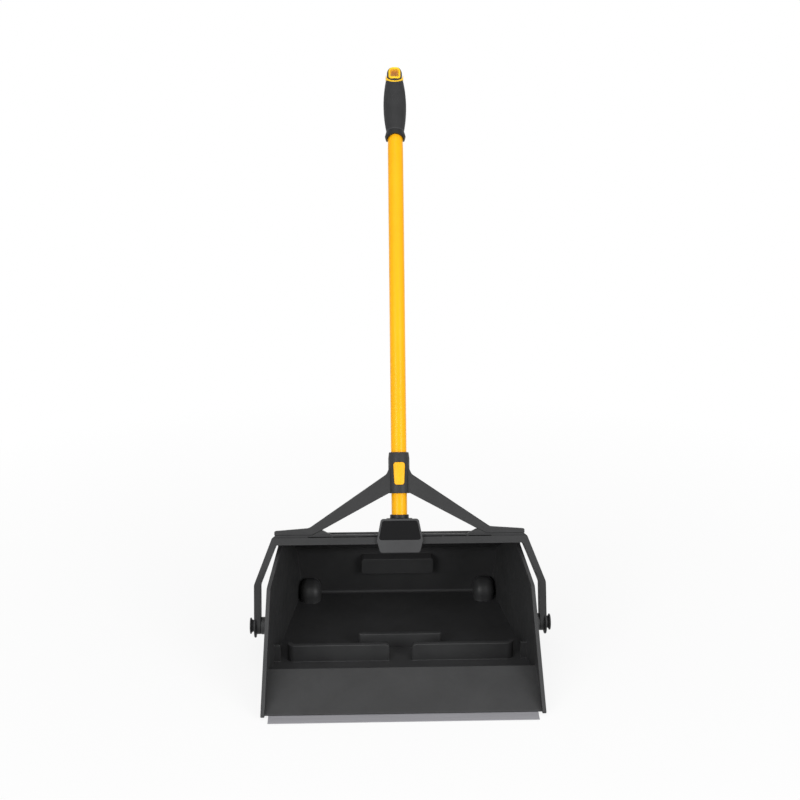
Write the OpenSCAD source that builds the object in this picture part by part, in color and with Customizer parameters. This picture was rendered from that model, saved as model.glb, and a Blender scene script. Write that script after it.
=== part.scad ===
// Stand-up lobby dustpan: a hooded pan on two wheels, a swinging yoke, a tube handle and a moulded grip.
// X runs to the right, Y to the back and Z up.
// The origin is the centre of the lip's resting face on the floor.
// Outlines are drawn from the lip's front edge, or from the yoke's pivot with Z along the tube.

/* [Pan] */
// Outer width of the pan at the front of its side walls
pan_front_w = 432; // [420:1:440]
// Outer width of the pan at the shoulder of its side walls
pan_mid_w = 423; // [415:1:427]
// Depth from the lip's front edge to the foot of the back wall
pan_l = 411; // [395:1:430]
// Thickness of the moulded walls
wall = 3.2; // [2.4:0.1:4]
// Height of the pan's underside above the floor
floor_gap = 3; // [2.5:0.1:4]
// Distance from the lip's front edge to the shoulder where the front edge of a side wall turns back
shoulder_y = 150; // [140:1:160]
// Height of that shoulder
shoulder_z = 148; // [140:1:154]
// Lean of the back wall towards the front, in degrees
back_lean = 14; // [10:0.5:18]
// Height of the corner between back wall and roof
roof_back_z = 106; // [98:1:114]
// Radius of the edge between floor and back wall
back_r = 8; // [6:0.5:12]
// Radius of the edge between back wall and roof
roof_r = 32; // [20:1:40]
// Radius of the pan's upright back corners
corner_r = 26; // [18:1:32]
// Thickness of the bead along the front edge of a side wall
bead_t = 6; // [5:0.5:8]
// Depth of that bead
bead_l = 8; // [6:0.5:12]

/* [Ramp and baffles] */
// Distance from the lip's front edge to the front of the ramp
ramp_y = 16.5; // [14:0.5:19]
// Height of the ramp's front edge
ramp_z = 5.5; // [4.8:0.1:6.2]
// Distance from the lip's front edge to the ridge of the ramp
ridge_y = 102; // [95:1:110]
// Height of the ridge
ridge_z = 35; // [31:1:38]
// Number of stiffening ribs under the ramp
ramp_ribs = 7; // [3:2:11]
// Distance from the lip's front edge to the front baffles
baffle_y = 167; // [160:1:172]
// Height of the front baffles' upper edge above the floor
baffle_z = 35.5; // [30:0.5:40]
// Thickness of the baffles
baffle_t = 8; // [6:0.5:9]
// Gap between the two front baffles
baffle_gap = 37; // [30:1:44]
// Length of one front baffle, up to its curved end
baffle_w = 153.5; // [145:0.5:158]
// Radius of the front baffles' curved ends
baffle_end_r = 12; // [10:0.5:13]
// Distance from the lip's front edge to the rear baffle
rear_baffle_y = 209; // [200:1:218]
// Width of the rear baffle
rear_baffle_w = 128; // [110:1:150]
// Height of the rear baffle's upper edge above the floor
rear_baffle_z = 31; // [26:0.5:36]

/* [Hand recess] */
// Width of the hand recess in the back wall
recess_w = 120; // [110:1:130]
// Height of the hand recess along the back wall
recess_h = 27; // [24:1:29]
// Depth of the hand recess
recess_l = 16; // [12:0.5:20]
// Height of the recess's lower edge along the back wall
recess_z = 63; // [60:1:65]

/* [Lip] */
// Width of the lip
lip_w = 409; // [395:0.5:415]
// Depth of the lip with the tongue that runs under the ramp
lip_l = 36; // [32:0.5:40]
// Thickness of the lip's front edge
lip_edge = 1.2; // [0.8:0.1:2]
// Number of rivets in the lip
rivet_count = 6; // [4:1:8]
// Diameter of a rivet's shank
rivet_d = 4; // [3:0.1:5]
// Diameter of a rivet's head
rivet_head_d = 8; // [6.5:0.1:9]

/* [Wheels] */
// Diameter of a wheel over its tyre
wheel_d = 37; // [35:0.5:38]
// Width of a tyre
tyre_w = 16; // [12:0.5:18]
// Diameter of the hub under the tyre
hub_d = 27; // [24:0.5:29]
// Width of the hub between the walls of its well
hub_w = 29.4; // [28:0.1:32]
// Distance from one wheel's middle to the other's
wheel_track = 308; // [300:1:312]
// Gap between a well's outer wall and the pan's side at the back wall's foot
well_inset = 2.8; // [2:0.1:5]
// Distance from the foot of the back wall forward to the axle
axle_inset = 23; // [22:0.5:25]
// Diameter of an axle
axle_d = 5; // [4:0.1:6]

/* [Yoke] */
// Distance from the lip's front edge to the pivot axis
pivot_y = 180; // [176:1:184]
// Height of the pivot axis
pivot_z = 66.4; // [63:0.2:70]
// Lean of the handle from upright at its stop, in degrees
lean = 22.5; // [21:0.5:24]
// Gap between the pan's side and an arm at the pivot
arm_gap = 17.7; // [16:0.1:20]
// Thickness of an arm
arm_t = 10.5; // [9:0.5:11]
// Distance from the pivot up to the kink of the arms
kink_z = 66; // [62:1:68]
// Distance that the arms lean in from their eyes to the crossbar's end
bar_inset = 29; // [26:0.5:30]
// Distance from the pivot to the underside of the crossbar
bar_z = 129; // [128.5:0.5:132]
// Height of the crossbar's front band
bar_band_h = 11.5; // [9:0.5:13]
// Height of the ledge above that band
bar_ledge_h = 4; // [3:0.5:6]
// Distance from the yoke's plane forward to the crossbar's front band
bar_front = 14; // [13.5:0.5:15]
// Diameter of the arms' eyes
eye_d = 38; // [34:1:40]
// Diameter of the hub inside an eye
eye_hub_d = 27; // [24:0.5:29]
// Thickness of the web of an eye
eye_web = 3; // [2.5:0.1:4]
// Diameter of a pivot pin
pin_d = 12; // [10:0.5:13]
// Diameter of a pivot pin's flared head
pin_head_d = 26; // [22:0.5:28]
// Diameter of the neck behind that head
pin_neck_d = 18.5; // [17.5:0.5:20]
// Distance that the flared head stands out from the arm
pin_head_l = 7; // [5:0.5:8]

/* [Brace and socket] */
// Diameter of the collar round the tube
collar_d = 34.6; // [33.6:0.2:37]
// Distance from the pivot to the collar's lower end
collar_z = 210.7; // [206:0.1:214]
// Length of the collar
collar_l = 66.6; // [60:0.2:72]
// Depth of the brace from front to back
brace_l = 18; // [14:0.5:20]
// Distance from the crossbar's end to the end of the brace's foot
foot_inset = 3.7; // [2.5:0.1:6]
// Length of a foot from the heel of its leg
foot_l = 55.5; // [52:0.5:60]
// Length of the leg's sole between heel and toe
leg_sole = 21.3; // [18:0.1:24]
// Height of a foot at its outer end
foot_h = 7; // [5:0.5:9]
// Distance from the pivot to the mouth of the tube's socket
socket_z = 170; // [166:0.5:174]
// Diameter of the ring at the socket's mouth
socket_ring_d = 30.6; // [29.6:0.2:34]
// Height of that ring
socket_ring_h = 6; // [4:0.5:8]
// Greatest width of the socket cover
cover_w = 74.6; // [70:0.2:80]
// Thickness of the socket cover
cover_t = 7; // [5:0.5:9]

/* [Tube and button] */
// Outer diameter of the tube
tube_d = 25.4; // [25:0.1:25.8]
// Wall of the tube
tube_wall = 1.2; // [1:0.1:1.6]
// Distance from the pivot to the start of the tube's bend
bend_z = 746; // [640:1:820]
// Angle of the bend towards the back, in degrees
bend_angle = 8; // [4:0.5:12]
// Radius of the bend
bend_r = 260; // [200:5:320]
// Length of the straight tube between bend and grip
grip_lead = 10; // [8:0.5:20]
// Width of the push button at its upper end
button_w = 19; // [16:0.5:20]
// Width of the push button at its lower end
button_low_w = 15.6; // [13:0.2:16]
// Height of the push button
button_h = 36; // [30:0.5:40]
// Travel of the push button
button_travel = 2; // [1.5:0.1:2.2]

/* [Grip] */
// Length of the ring below the grip
ring_h = 19; // [17:0.5:22]
// Rise of the arch in the ring's lower edge
ring_arch = 9.5; // [7:0.5:10]
// Greatest diameter of that ring
ring_d = 34.7; // [32:0.1:38]
// Length of the soft sleeve up to the saddle in its upper end
sleeve_l = 82; // [76:1:92]
// Greatest diameter of the sleeve
sleeve_d = 38; // [35:0.5:42]
// Diameter of the sleeve at its ends
sleeve_end_d = 29.6; // [29:0.2:32]
// Width of the cap round the hang eyelet
cap_w = 25.2; // [23:0.2:25.6]
// Depth of that cap from front to back
cap_l = 28; // [24:0.5:28.6]
// Width of the eyelet's frame
eyelet_w = 20; // [19:0.2:21]
// Height of the eyelet's frame
eyelet_h = 20; // [18:0.2:22]
// Wall of the eyelet's frame round the hang hole
eyelet_wall = 3.2; // [2.6:0.1:4]

/* [Hidden] */

$fn = 64;
// Turn from one point of a rounded corner to the next, in degrees
arc_step = 10;
// Overrun of every cut
over = 1;
// Radial clearance of a pin that turns in its bore
run_fit = 0.05;
// Clearance between pieces that slide or seat beside each other
seat_gap = 0.3;

// Pan: derived places
floor_top = floor_gap + wall;
toe_y = 6;
toe_r = 3;
mouth_run = 60;
rim_r = 4;
shoulder_r = 16;
rim_low_share = 0.974;
bead_run_share = 1.2;
rim_t = 6;
rim_drop = 14;
ridge_draft = 1.2;
ridge_r = 2.5;
rib_t = 2.4;
rib_span_share = 0.8;
nose_end = lip_l;
boss_d = 28;
stub_l = 10;
stub_t = 6;
baffle_corner_r = 7;
recess_r = 2.5;
well_gap = 2;
well_r = wheel_d / 2 + well_gap;
well_w = hub_w + 2 * seat_gap;
pan_back_w = wheel_track + well_w + 2 * (wall + well_inset);
well_edge_r = 14;
pocket_edge_r = well_edge_r - wall;
well_step = 0.4;
axle_y = pan_l - axle_inset;
axle_z = wheel_d / 2;
axle_seat = 2.4;
rivet_place_share = 0.6;
rivet_bite = 2;
rivet_top = floor_gap + rivet_bite;
rivet_sink = 1.6;
hub_neck_share = 2;
hub_dish = 5;
hub_rim_t = 2.6;
tyre_r = 3;

// Yoke: derived places, measured from the pivot along the tube
bar_step_z = bar_z + bar_band_h;
bar_top_z = bar_step_z + bar_ledge_h;
socket_wall = 2.5;
tube_r = tube_d / 2;
tube_fit = 0.1;
bar_back = tube_r + tube_fit + socket_wall;
ledge_step = 4;
ledge_front = bar_front - ledge_step;
arm_back = 10;
arm_in = half_w(pivot_y) + arm_gap;
arm_out = arm_in + arm_t;
bar_w = 2 * (arm_out - bar_inset);
brace_w = bar_w - 2 * foot_inset;
bar_end_wall = 6.5;
bar_in = bar_w / 2 - bar_end_wall;
kink_r = 14;
bar_end_r = 5;
stop_gap = 0.3;
rim_off = bar_back + stop_gap;
rim_rise = 4;
rim_top_z = bar_top_z + rim_rise;
bar_skin = 3;
bar_bays = 3;
bar_bay_start = 30;
bar_bay_margin = 16;
socket_w = 42;
socket_drop = 11;
socket_low_z = bar_z - socket_drop;
socket_floor = 6;
socket_r = 6;
pin_head_t = 2;
pin_seat_l = 16;
pin_flare_steps = 6;
bush_t = 1.5;
bush_flange_t = 1;
bush_flange_d = 17;

// Brace: the legs run from the collar down to the crossbar
leg_up_rise = 45;
leg_up_z = collar_z + leg_up_rise;
leg_low_rise = 9.5;
leg_low_z = collar_z + leg_low_rise;
leg_toe_rise = 7.8;
leg_toe_z = bar_top_z + leg_toe_rise;
leg_heel_x = brace_w / 2 - foot_l;
leg_toe_x = leg_heel_x - leg_sole;
leg_heel_rise = 11;
leg_heel_z = bar_top_z + leg_heel_rise;
leg_heel_r = 14;
foot_r = 2;
wedge_run = 16;
root_run = 3;
root_rise = 14;
root_r = 10;
leg_skin = 3;
leg_bays = 3;
leg_bay_start = 26;
leg_bay_margin = 10;
leg_bay_end = leg_toe_x - leg_bay_margin;
collar_top_d = 32.2;
collar_taper_h = 10;
screw_d = 4;
screw_head_d = 8;
screw_head_h = 3;
screw_grip = 5;
brace_screw_in = 36.8;
brace_screw_out = 12.8;
brace_screw_x = [brace_w / 2 - brace_screw_in, brace_w / 2 - brace_screw_out];
bar_bay_end = brace_screw_x[0] - bar_bay_margin;
cover_screw_low = 3;
cover_screw_high = 4;
cover_screw_z = [socket_low_z + cover_screw_low, socket_z - cover_screw_high];
cover_screw_x = 17.5;
cover_screw_d = 2.6;
cover_screw_head_d = 5;
cover_screw_head_h = 2;
cover_screw_grip = 4;
cover_top_z = socket_z - seat_gap;
cover_wide_rise = 5.5;
cover_wide_z = bar_z + cover_wide_rise;
cover_low_drop = 14;
cover_low_z = bar_z - cover_low_drop;
cover_top_w = 61;
cover_low_w = 64;
cover_r = 5;
label_t = 1;
label_margin = 3.2;
label_low_rise = 1.5;
label_low_z = cover_wide_z + label_low_rise;
label_r = 4;

// Tube, button and spring: derived places
tube_low_z = socket_low_z + socket_floor + seat_gap;
swage = 0.2;
button_rise = 14.1;
button_z = collar_z + button_rise;
button_mid_z = button_z + button_h / 2;
button_r = 4;
button_gap = 0.4;
button_proud = 1;
button_inner_r = tube_r + button_travel + 2 * seat_gap;
button_face_r = collar_d / 2 + button_proud;
stem_d = 8;
stem_gap = 0.3;
stem_inner_y = 7.5;
spring_t = 0.6;
spring_w = 7;
spring_l = 44;
spring_foot = 12;
spring_turn = 2.5;

// Grip: derived places, measured from the ring's lower edge along the grip
sleeve_z = ring_h;
ring_foot_d = 29.4;
ring_mid_r = 3;
core_z = ring_h + sleeve_l;
tube_top_drop = 8;
tube_top_z = core_z - tube_top_drop;
plug_l = 36;
saddle_r = 16.7;
saddle_rise = 7;
saddle_z = core_z + saddle_r;
band_t = 2.6;
band_d = 29.7;
band_r = saddle_r - seat_gap;
cap_seat_r = band_r - band_t;
cap_low_z = saddle_z - cap_seat_r + seat_gap;
cap_h = 24;
cap_r = 8;
cap_low_share = 0.49;
eyelet_rise = 4;
eyelet_low_z = cap_low_z + eyelet_rise;
eyelet_r = 6;
eyelet_proud = 0.5;
stem_w = 9;
stem_l = 7;
grip_bore_r = tube_r - swage + tube_fit;

// Two-dimensional helpers for outlines given anticlockwise
function unit(v) = v / norm(v);
function left_of(v) = [-v[1], v[0]];
function cross2(a, b) = a[0] * b[1] - a[1] * b[0];
function meet(p, u, q, v) = p + u * cross2(q - p, v) / cross2(u, v);
function before(pts, i) = pts[(i + len(pts) - 1) % len(pts)];
function after(pts, i) = pts[(i + 1) % len(pts)];
function mix(a, b, share) = a + (b - a) * share;

// The outline moved inwards by a distance
function inset(pts, d) = [
    for (i = [0 : len(pts) - 1])
        let (u = unit(pts[i] - before(pts, i)), v = unit(after(pts, i) - pts[i]))
            meet(pts[i] + left_of(u) * d, u, pts[i] + left_of(v) * d, v)
];

// The points of one corner rounded by a radius
function corner(a, b, c, r) =
    r == 0 ? [b] :
    let (u = unit(a - b), v = unit(c - b), half = acos(u * v) / 2, side = sign(cross2(b - a, c - b)))
    let (middle = b + unit(u + v) * r / sin(half), from = b + u * r / tan(half) - middle)
    let (turn = 180 - 2 * half, steps = max(1, ceil(turn / arc_step)))
    [for (k = [0 : steps])
        let (t = side * turn * k / steps)
            middle + [from[0] * cos(t) - from[1] * sin(t), from[0] * sin(t) + from[1] * cos(t)]];

// The outline with each corner rounded by its own radius
function rounded(pts, radii) = [
    for (i = [0 : len(pts) - 1]) each corner(before(pts, i), pts[i], after(pts, i), radii[i])
];

// An open path given a thickness on its right-hand side
function beside(path, d) = [
    for (i = [0 : len(path) - 1])
        let (u = unit(path[max(i, 1)] - path[max(i, 1) - 1]), next = min(i + 1, len(path) - 1))
        let (v = unit(path[next] - path[next - 1]))
            cross2(u, v) == 0 ? path[i] - left_of(u) * d
                : meet(path[i] - left_of(u) * d, u, path[i] - left_of(v) * d, v)
];
function reversed(pts) = [for (i = [len(pts) - 1 : -1 : 0]) pts[i]];
function strip(path, t) = concat(reversed(path), beside(path, t));

function box_points(x0, y0, x1, y1) = [[x0, y0], [x1, y0], [x1, y1], [x0, y1]];
function mirrored(pts) = [for (i = [len(pts) - 1 : -1 : 0]) [-pts[i][0], pts[i][1]]];

// Places on the pan, as [distance from the lip's front edge, height]
function yoke_point(back, up) =
    [pivot_y + back * cos(lean) + up * sin(lean), pivot_z - back * sin(lean) + up * cos(lean)];
function front_half_w(y) = mix(pan_front_w, pan_mid_w, (y - toe_y) / (shoulder_y - toe_y)) / 2;
function back_half_w(y) = mix(pan_mid_w, pan_back_w, (y - shoulder_y) / (pan_l - shoulder_y)) / 2;
function half_w(y) = y < shoulder_y ? front_half_w(y) : back_half_w(y);
function ramp_top(y) = mix(ramp_z, ridge_z, (y - ramp_y) / (ridge_y - ramp_y));
function leg_low(x) = mix(leg_low_z, leg_toe_z, x / leg_toe_x);
function leg_up(x) = mix(leg_up_z, leg_heel_z, x / leg_heel_x);

plan_side = [[pan_mid_w / 2, shoulder_y], [pan_back_w / 2, pan_l]];
side_outline = [
    [toe_y, floor_gap],
    [pan_l, floor_gap],
    [pan_l - (roof_back_z - floor_gap) * tan(back_lean), roof_back_z],
    yoke_point(rim_off, rim_top_z),
    yoke_point(rim_off, bar_z * rim_low_share),
    [shoulder_y, shoulder_z]
];
side_radii = [toe_r, back_r, roof_r, rim_r, rim_r, shoulder_r];

// Plan of the pan with its front edge at a distance from the lip
function plan_outline(front) = let (right = concat([[front_half_w(front), front]], plan_side))
    concat(right, mirrored(right));
function plan_radii(cut) = [0, 0, corner_r - cut, corner_r - cut, 0, 0];

// The space inside the pan, open to the front
function cavity_outline() = let (inner = inset(side_outline, wall))
    [[-mouth_run, floor_gap - over],
        [ramp_y, floor_gap - over],
        [ramp_y, ramp_z],
        [ridge_y, ridge_z],
        [ridge_y + ridge_draft, floor_top],
        inner[1],
        inner[2],
        meet(inner[2], inner[3] - inner[2], [-mouth_run, 0], [0, 1])];
cavity_radii = [0, 0, 0, ridge_r, 0, back_r - wall, roof_r - wall, 0];

// Frames and slabs
module floor_frame() translate([0, -lip_l / 2, 0]) children();
module yoke_frame() floor_frame() translate([0, pivot_y, pivot_z]) rotate([-lean, 0, 0]) children();
module grip_frame() yoke_frame() translate([0, bend_r, bend_z]) rotate([-bend_angle, 0, 0])
    translate([0, -bend_r, grip_lead]) children();
module back_frame() translate([0, pan_l, floor_gap]) rotate([back_lean, 0, 0]) children();
module side_slab(x0, x1) translate([x0, 0, 0]) rotate([90, 0, 90]) linear_extrude(x1 - x0) children();
module front_slab(y0, y1) translate([0, y1, 0]) rotate([90, 0, 0]) linear_extrude(y1 - y0) children();
module upright_slab(z0, z1) translate([0, 0, z0]) linear_extrude(z1 - z0) children();
module both_sides() {
    children();
    mirror([1, 0, 0]) children();
}
module on_side(side) {
    if (side > 0) children();
    else mirror([1, 0, 0]) children();
}
module cross_rod(x0, x1, d) translate([x0, 0, 0]) rotate([0, 90, 0]) cylinder(d = d, h = x1 - x0);

// Pan shell
module pan_block(outline, radii) side_slab(-pan_front_w, pan_front_w) polygon(rounded(outline, radii));
module pan_plan(front, cut) upright_slab(-mouth_run, pan_l)
    polygon(rounded(inset(plan_outline(front), cut), plan_radii(cut)));
module pan_outside() {
    intersection() {
        pan_block(side_outline, side_radii);
        pan_plan(toe_y, 0);
    }
}
module pan_inside() {
    intersection() {
        pan_block(cavity_outline(), cavity_radii);
        pan_plan(-2 * mouth_run, wall);
    }
}
module pivot_boss() translate([0, pivot_y, pivot_z])
    cross_rod(half_w(pivot_y) - 2 * wall, arm_in - seat_gap, boss_d);
module under_ramp() {
    under = (ridge_z - ramp_z) / (ridge_y - ramp_y);
    drop = wall * sqrt(1 + under * under);
    back = ridge_y - wall;
    pitch = 2 * rib_span_share * half_w(nose_end) / (ramp_ribs - 1);
    difference() {
        intersection() {
            pan_block([[nose_end, floor_gap - over], [back, floor_gap - over],
                [back, ramp_top(back) - drop], [nose_end, ramp_top(nose_end) - drop]], [0, 0, 0, 0]);
            pan_plan(toe_y, wall);
        }
        for (i = [0 : ramp_ribs - 1])
            let (x = (i - (ramp_ribs - 1) / 2) * pitch)
                side_slab(x - rib_t / 2, x + rib_t / 2)
                    polygon(box_points(nose_end - over, 0, ridge_y, ridge_z));
    }
}
module edge_bead() {
    inner = inset(side_outline, bead_l);
    outer = inset(side_outline, -over);
    difference() {
        side_slab(-pan_front_w, pan_front_w)
            polygon([outer[0], mix(inner[5], inner[0], bead_run_share), inner[5], inner[4],
                outer[4], outer[5]]);
        pan_plan(-2 * mouth_run, bead_t);
    }
}
module hood_rim() {
    front = rim_off - over;
    back = rim_off + rim_t;
    low = rim_top_z - rim_drop;
    top = rim_top_z + over;
    side_slab(-pan_front_w, pan_front_w)
        polygon([yoke_point(front, low), yoke_point(back, low),
            yoke_point(back, top), yoke_point(front, top)]);
}
module front_baffle() {
    from = baffle_gap / 2;
    to = from + baffle_w;
    front_slab(baffle_y, baffle_y + baffle_t)
        polygon(rounded(box_points(from, floor_gap + wall / 2, to, baffle_z), [0, 0, 0, baffle_corner_r]));
    translate([to, baffle_y + baffle_end_r, floor_gap + wall / 2]) rotate([0, 0, -90])
        rotate_extrude(angle = 90) translate([baffle_end_r - baffle_t, 0])
            square([baffle_t, baffle_z - floor_gap - wall / 2]);
}
module rear_baffle() upright_slab(floor_gap + wall / 2, rear_baffle_z) {
    translate([-rear_baffle_w / 2, rear_baffle_y]) square([rear_baffle_w, baffle_t]);
    for (side = [-1, 1])
        translate([side * rear_baffle_w / 2, rear_baffle_y + baffle_t / 2]) circle(d = baffle_t);
}
module wall_stub() {
    back = baffle_y + baffle_t;
    translate([half_w(back) - wall - stub_l, back - stub_t, floor_gap + wall / 2])
        cube([stub_l + wall / 2, stub_t, baffle_z - floor_gap - wall / 2]);
}
module well_shape(r, w, edge) {
    rotate([0, 90, 0]) rotate_extrude()
        polygon(rounded([[0, -w / 2], [r, -w / 2], [r, w / 2], [0, w / 2]], [0, edge, edge, 0]));
}
module wheel_well() {
    half = well_w / 2 + wall - well_step;
    depth = well_r + wall - well_step;
    translate([wheel_track / 2, axle_y, axle_z]) well_shape(well_r + wall, well_w + 2 * wall, well_edge_r);
    translate([wheel_track / 2, axle_y, 0]) upright_slab(0, axle_z)
        polygon(rounded(box_points(-half, -depth, half, depth), [for (i = [0 : 3]) well_edge_r]));
}
module wheel_pocket() {
    half = well_w / 2 - well_step;
    depth = well_r - well_step;
    translate([wheel_track / 2, axle_y, axle_z]) well_shape(well_r, well_w, pocket_edge_r);
    translate([wheel_track / 2, axle_y, 0]) upright_slab(-over, axle_z)
        polygon(rounded(box_points(-half, -depth, half, depth), [for (i = [0 : 3]) pocket_edge_r]));
    translate([wheel_track / 2, axle_y, axle_z])
        cross_rod(-well_w / 2 - axle_seat, well_w / 2 + axle_seat, axle_d + 2 * run_fit);
}
module recess_block(grow, from, to) back_frame() front_slab(-to, -from)
    polygon(rounded(box_points(-recess_w / 2 - grow, recess_z - grow, recess_w / 2 + grow,
        recess_z + recess_h + grow), [for (i = [0 : 3]) recess_r + grow]));
module rivet_places() for (i = [0 : rivet_count - 1])
    let (pitch = lip_w / rivet_count)
        translate([(i - (rivet_count - 1) / 2) * pitch, mix(ramp_y, lip_l, rivet_place_share), 0]) children();

// The hollow is cut in one go, and what stands inside the pan is left standing
module pan_hollow() difference() {
    pan_inside();
    edge_bead();
    hood_rim();
    both_sides() {
        front_baffle();
        wall_stub();
        wheel_well();
    }
    rear_baffle();
    recess_block(wall, -over, recess_l + wall);
}
module pan_shell() color("#26272a") floor_frame() difference() {
    union() {
        pan_outside();
        both_sides() pivot_boss();
    }
    pan_hollow();
    under_ramp();
    both_sides() {
        wheel_pocket();
        translate([0, pivot_y, pivot_z])
            cross_rod(arm_in - seat_gap - pin_seat_l, arm_in, pin_d + 2 * run_fit);
    }
    recess_block(0, -over, recess_l);
    rivet_places() cylinder(d = rivet_d + 2 * run_fit, h = rivet_top + run_fit);
}

// Lip and rivets
module lip_strip() color("#9a999e") floor_frame() difference() {
    side_slab(-lip_w / 2, lip_w / 2)
        polygon([[0, 0], [lip_l, 0], [lip_l, floor_gap], [ramp_y, floor_gap], [0, lip_edge]]);
    rivet_places() {
        translate([0, 0, -over]) cylinder(d = rivet_d + 2 * run_fit, h = floor_gap + 2 * over);
        translate([0, 0, -over]) cylinder(d = rivet_head_d + 2 * seat_gap, h = rivet_sink + over);
    }
}
module lip_rivets() color("#55565a") floor_frame() rivet_places() {
    translate([0, 0, seat_gap]) cylinder(d = rivet_head_d, h = rivet_sink - seat_gap);
    translate([0, 0, seat_gap]) cylinder(d = rivet_d, h = rivet_top - seat_gap);
}

// Wheels and axles
module wheel_axle(side) color("#b5b8bc") floor_frame() on_side(side)
    translate([wheel_track / 2, axle_y, axle_z])
        cross_rod(-well_w / 2 - axle_seat + seat_gap, well_w / 2 + axle_seat - seat_gap, axle_d);
module wheel_hub(side) color("#5b5c60") floor_frame() on_side(side)
    translate([wheel_track / 2, axle_y, axle_z]) difference() {
        union() {
            cross_rod(-tyre_w / 2, tyre_w / 2, hub_d);
            cross_rod(-hub_w / 2, hub_w / 2, axle_d * hub_neck_share);
        }
        cross_rod(-hub_w, hub_w, axle_d + 2 * run_fit);
        for (face = [-1, 1])
            translate([face * tyre_w / 2, 0, 0]) rotate([0, 90, 0]) rotate_extrude()
                polygon([[axle_d * hub_neck_share / 2, -hub_dish], [hub_d / 2 - hub_rim_t, -hub_dish],
                    [hub_d / 2 - hub_rim_t, hub_dish], [axle_d * hub_neck_share / 2, hub_dish]]);
    }
module wheel_tyre(side) color("#1b1b1d") floor_frame() on_side(side)
    translate([wheel_track / 2, axle_y, axle_z]) rotate([0, 90, 0]) rotate_extrude()
        polygon(rounded([[hub_d / 2, -tyre_w / 2], [wheel_d / 2, -tyre_w / 2], [wheel_d / 2, tyre_w / 2],
            [hub_d / 2, tyre_w / 2]], [0, tyre_r, tyre_r, 0]));

// Pivot pins and bushes
module pivot_pin(side) color("#2c2d30") floor_frame() on_side(side) translate([0, pivot_y, pivot_z])
    translate([arm_out, 0, 0]) rotate([0, 90, 0]) {
        rotate_extrude() polygon(concat(
            [[0, seat_gap], [pin_neck_d / 2, seat_gap]],
            [for (k = [0 : pin_flare_steps])
                let (t = 90 * k / pin_flare_steps, rise = pin_head_l - pin_head_t - seat_gap)
                    [mix(pin_neck_d, pin_head_d, 1 - cos(t)) / 2, seat_gap + rise * sin(t)]],
            [[pin_head_d / 2, pin_head_l], [0, pin_head_l]]));
        translate([0, 0, -arm_t - pin_seat_l]) cylinder(d = pin_d, h = arm_t + pin_seat_l + 2 * seat_gap);
    }
module pivot_bush(side) color("#c9cacc") floor_frame() on_side(side) translate([0, pivot_y, pivot_z])
    translate([arm_in, 0, 0]) rotate([0, 90, 0]) difference() {
        union() {
            cylinder(d = pin_d + 2 * bush_t, h = arm_t);
            translate([0, 0, arm_t - bush_flange_t]) cylinder(d = bush_flange_d, h = bush_flange_t);
        }
        translate([0, 0, -over]) cylinder(d = pin_d + 2 * run_fit, h = arm_t + 2 * over);
    }

// Bail: crossbar, arms and socket
module bail_front() {
    right = [[arm_out, -eye_d], [arm_out, kink_z], [bar_w / 2, bar_step_z],
        [bar_w / 2 - bar_end_r, bar_top_z]];
    inner = [[arm_in, -2 * eye_d], [arm_in, kink_z], [bar_in, bar_z]];
    difference() {
        polygon(rounded(concat(right, mirrored(right)),
            [0, kink_r, bar_end_r, bar_end_r / 2, bar_end_r / 2, bar_end_r, kink_r, 0]));
        polygon(rounded(concat(inner, mirrored(inner)), [0, kink_r, bar_end_r, bar_end_r, kink_r, 0]));
    }
}
module bail_side() {
    circle(d = eye_hub_d);
    polygon([[-bar_front, 0], [arm_back, 0], [arm_back, bar_z - eye_hub_d / 2], [bar_back, bar_z],
        [bar_back, bar_top_z], [-ledge_front, bar_top_z], [-ledge_front, bar_step_z],
        [-bar_front, bar_step_z]]);
}
module bail_wedge() front_slab(-brace_l / 2, brace_l / 2)
    polygon([[leg_toe_x - wedge_run, bar_top_z - over], [leg_toe_x + wedge_run, bar_top_z - over],
        [leg_toe_x + wedge_run, bar_top_z], [leg_toe_x, leg_toe_z], [leg_toe_x - wedge_run, bar_top_z]]);
module bar_bay() {
    pitch = (bar_bay_end - bar_bay_start) / bar_bays;
    for (i = [0 : bar_bays - 1])
        translate([bar_bay_start + i * pitch + bar_skin / 2, -bar_front + bar_skin, bar_z + bar_skin])
            cube([pitch - bar_skin, bar_front + bar_back, bar_band_h + bar_ledge_h - 2 * bar_skin]);
}
module brace_screw_places() for (x = brace_screw_x) translate([x, 0, 0]) children();
module cover_screw_places() for (z = cover_screw_z) for (side = [-1, 1])
    translate([side * cover_screw_x, 0, z]) rotate([90, 0, 0]) children();

module bail() color("#44464a") yoke_frame() difference() {
    union() {
        intersection() {
            front_slab(-eye_d, eye_d) bail_front();
            side_slab(-arm_out, arm_out) bail_side();
        }
        both_sides() {
            cross_rod(arm_out - eye_web, arm_out, eye_d);
            bail_wedge();
        }
        upright_slab(socket_low_z, socket_z)
            polygon(rounded(box_points(-socket_w / 2, -bar_front, socket_w / 2, bar_back),
                [for (i = [0 : 3]) i < 2 ? 0 : socket_r]));
    }
    translate([0, 0, socket_low_z + socket_floor]) cylinder(r = tube_r + tube_fit, h = socket_z);
    both_sides() {
        bar_bay();
        cross_rod(arm_in - over, arm_out + over, pin_d + 2 * bush_t);
        cross_rod(arm_out - bush_flange_t, arm_out + over, bush_flange_d);
        brace_screw_places() {
            translate([0, 0, bar_z - over])
                cylinder(d = screw_head_d + 2 * seat_gap, h = screw_head_h + over);
            translate([0, 0, bar_z]) cylinder(d = screw_d + 2 * run_fit, h = bar_top_z);
        }
    }
    cover_screw_places() {
        translate([0, 0, -bar_back - over]) cylinder(d = cover_screw_head_d + 2 * seat_gap,
            h = cover_screw_head_h + over);
        translate([0, 0, -bar_back])
            cylinder(d = cover_screw_d + 2 * run_fit, h = bar_back + bar_front + over);
    }
}

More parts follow.
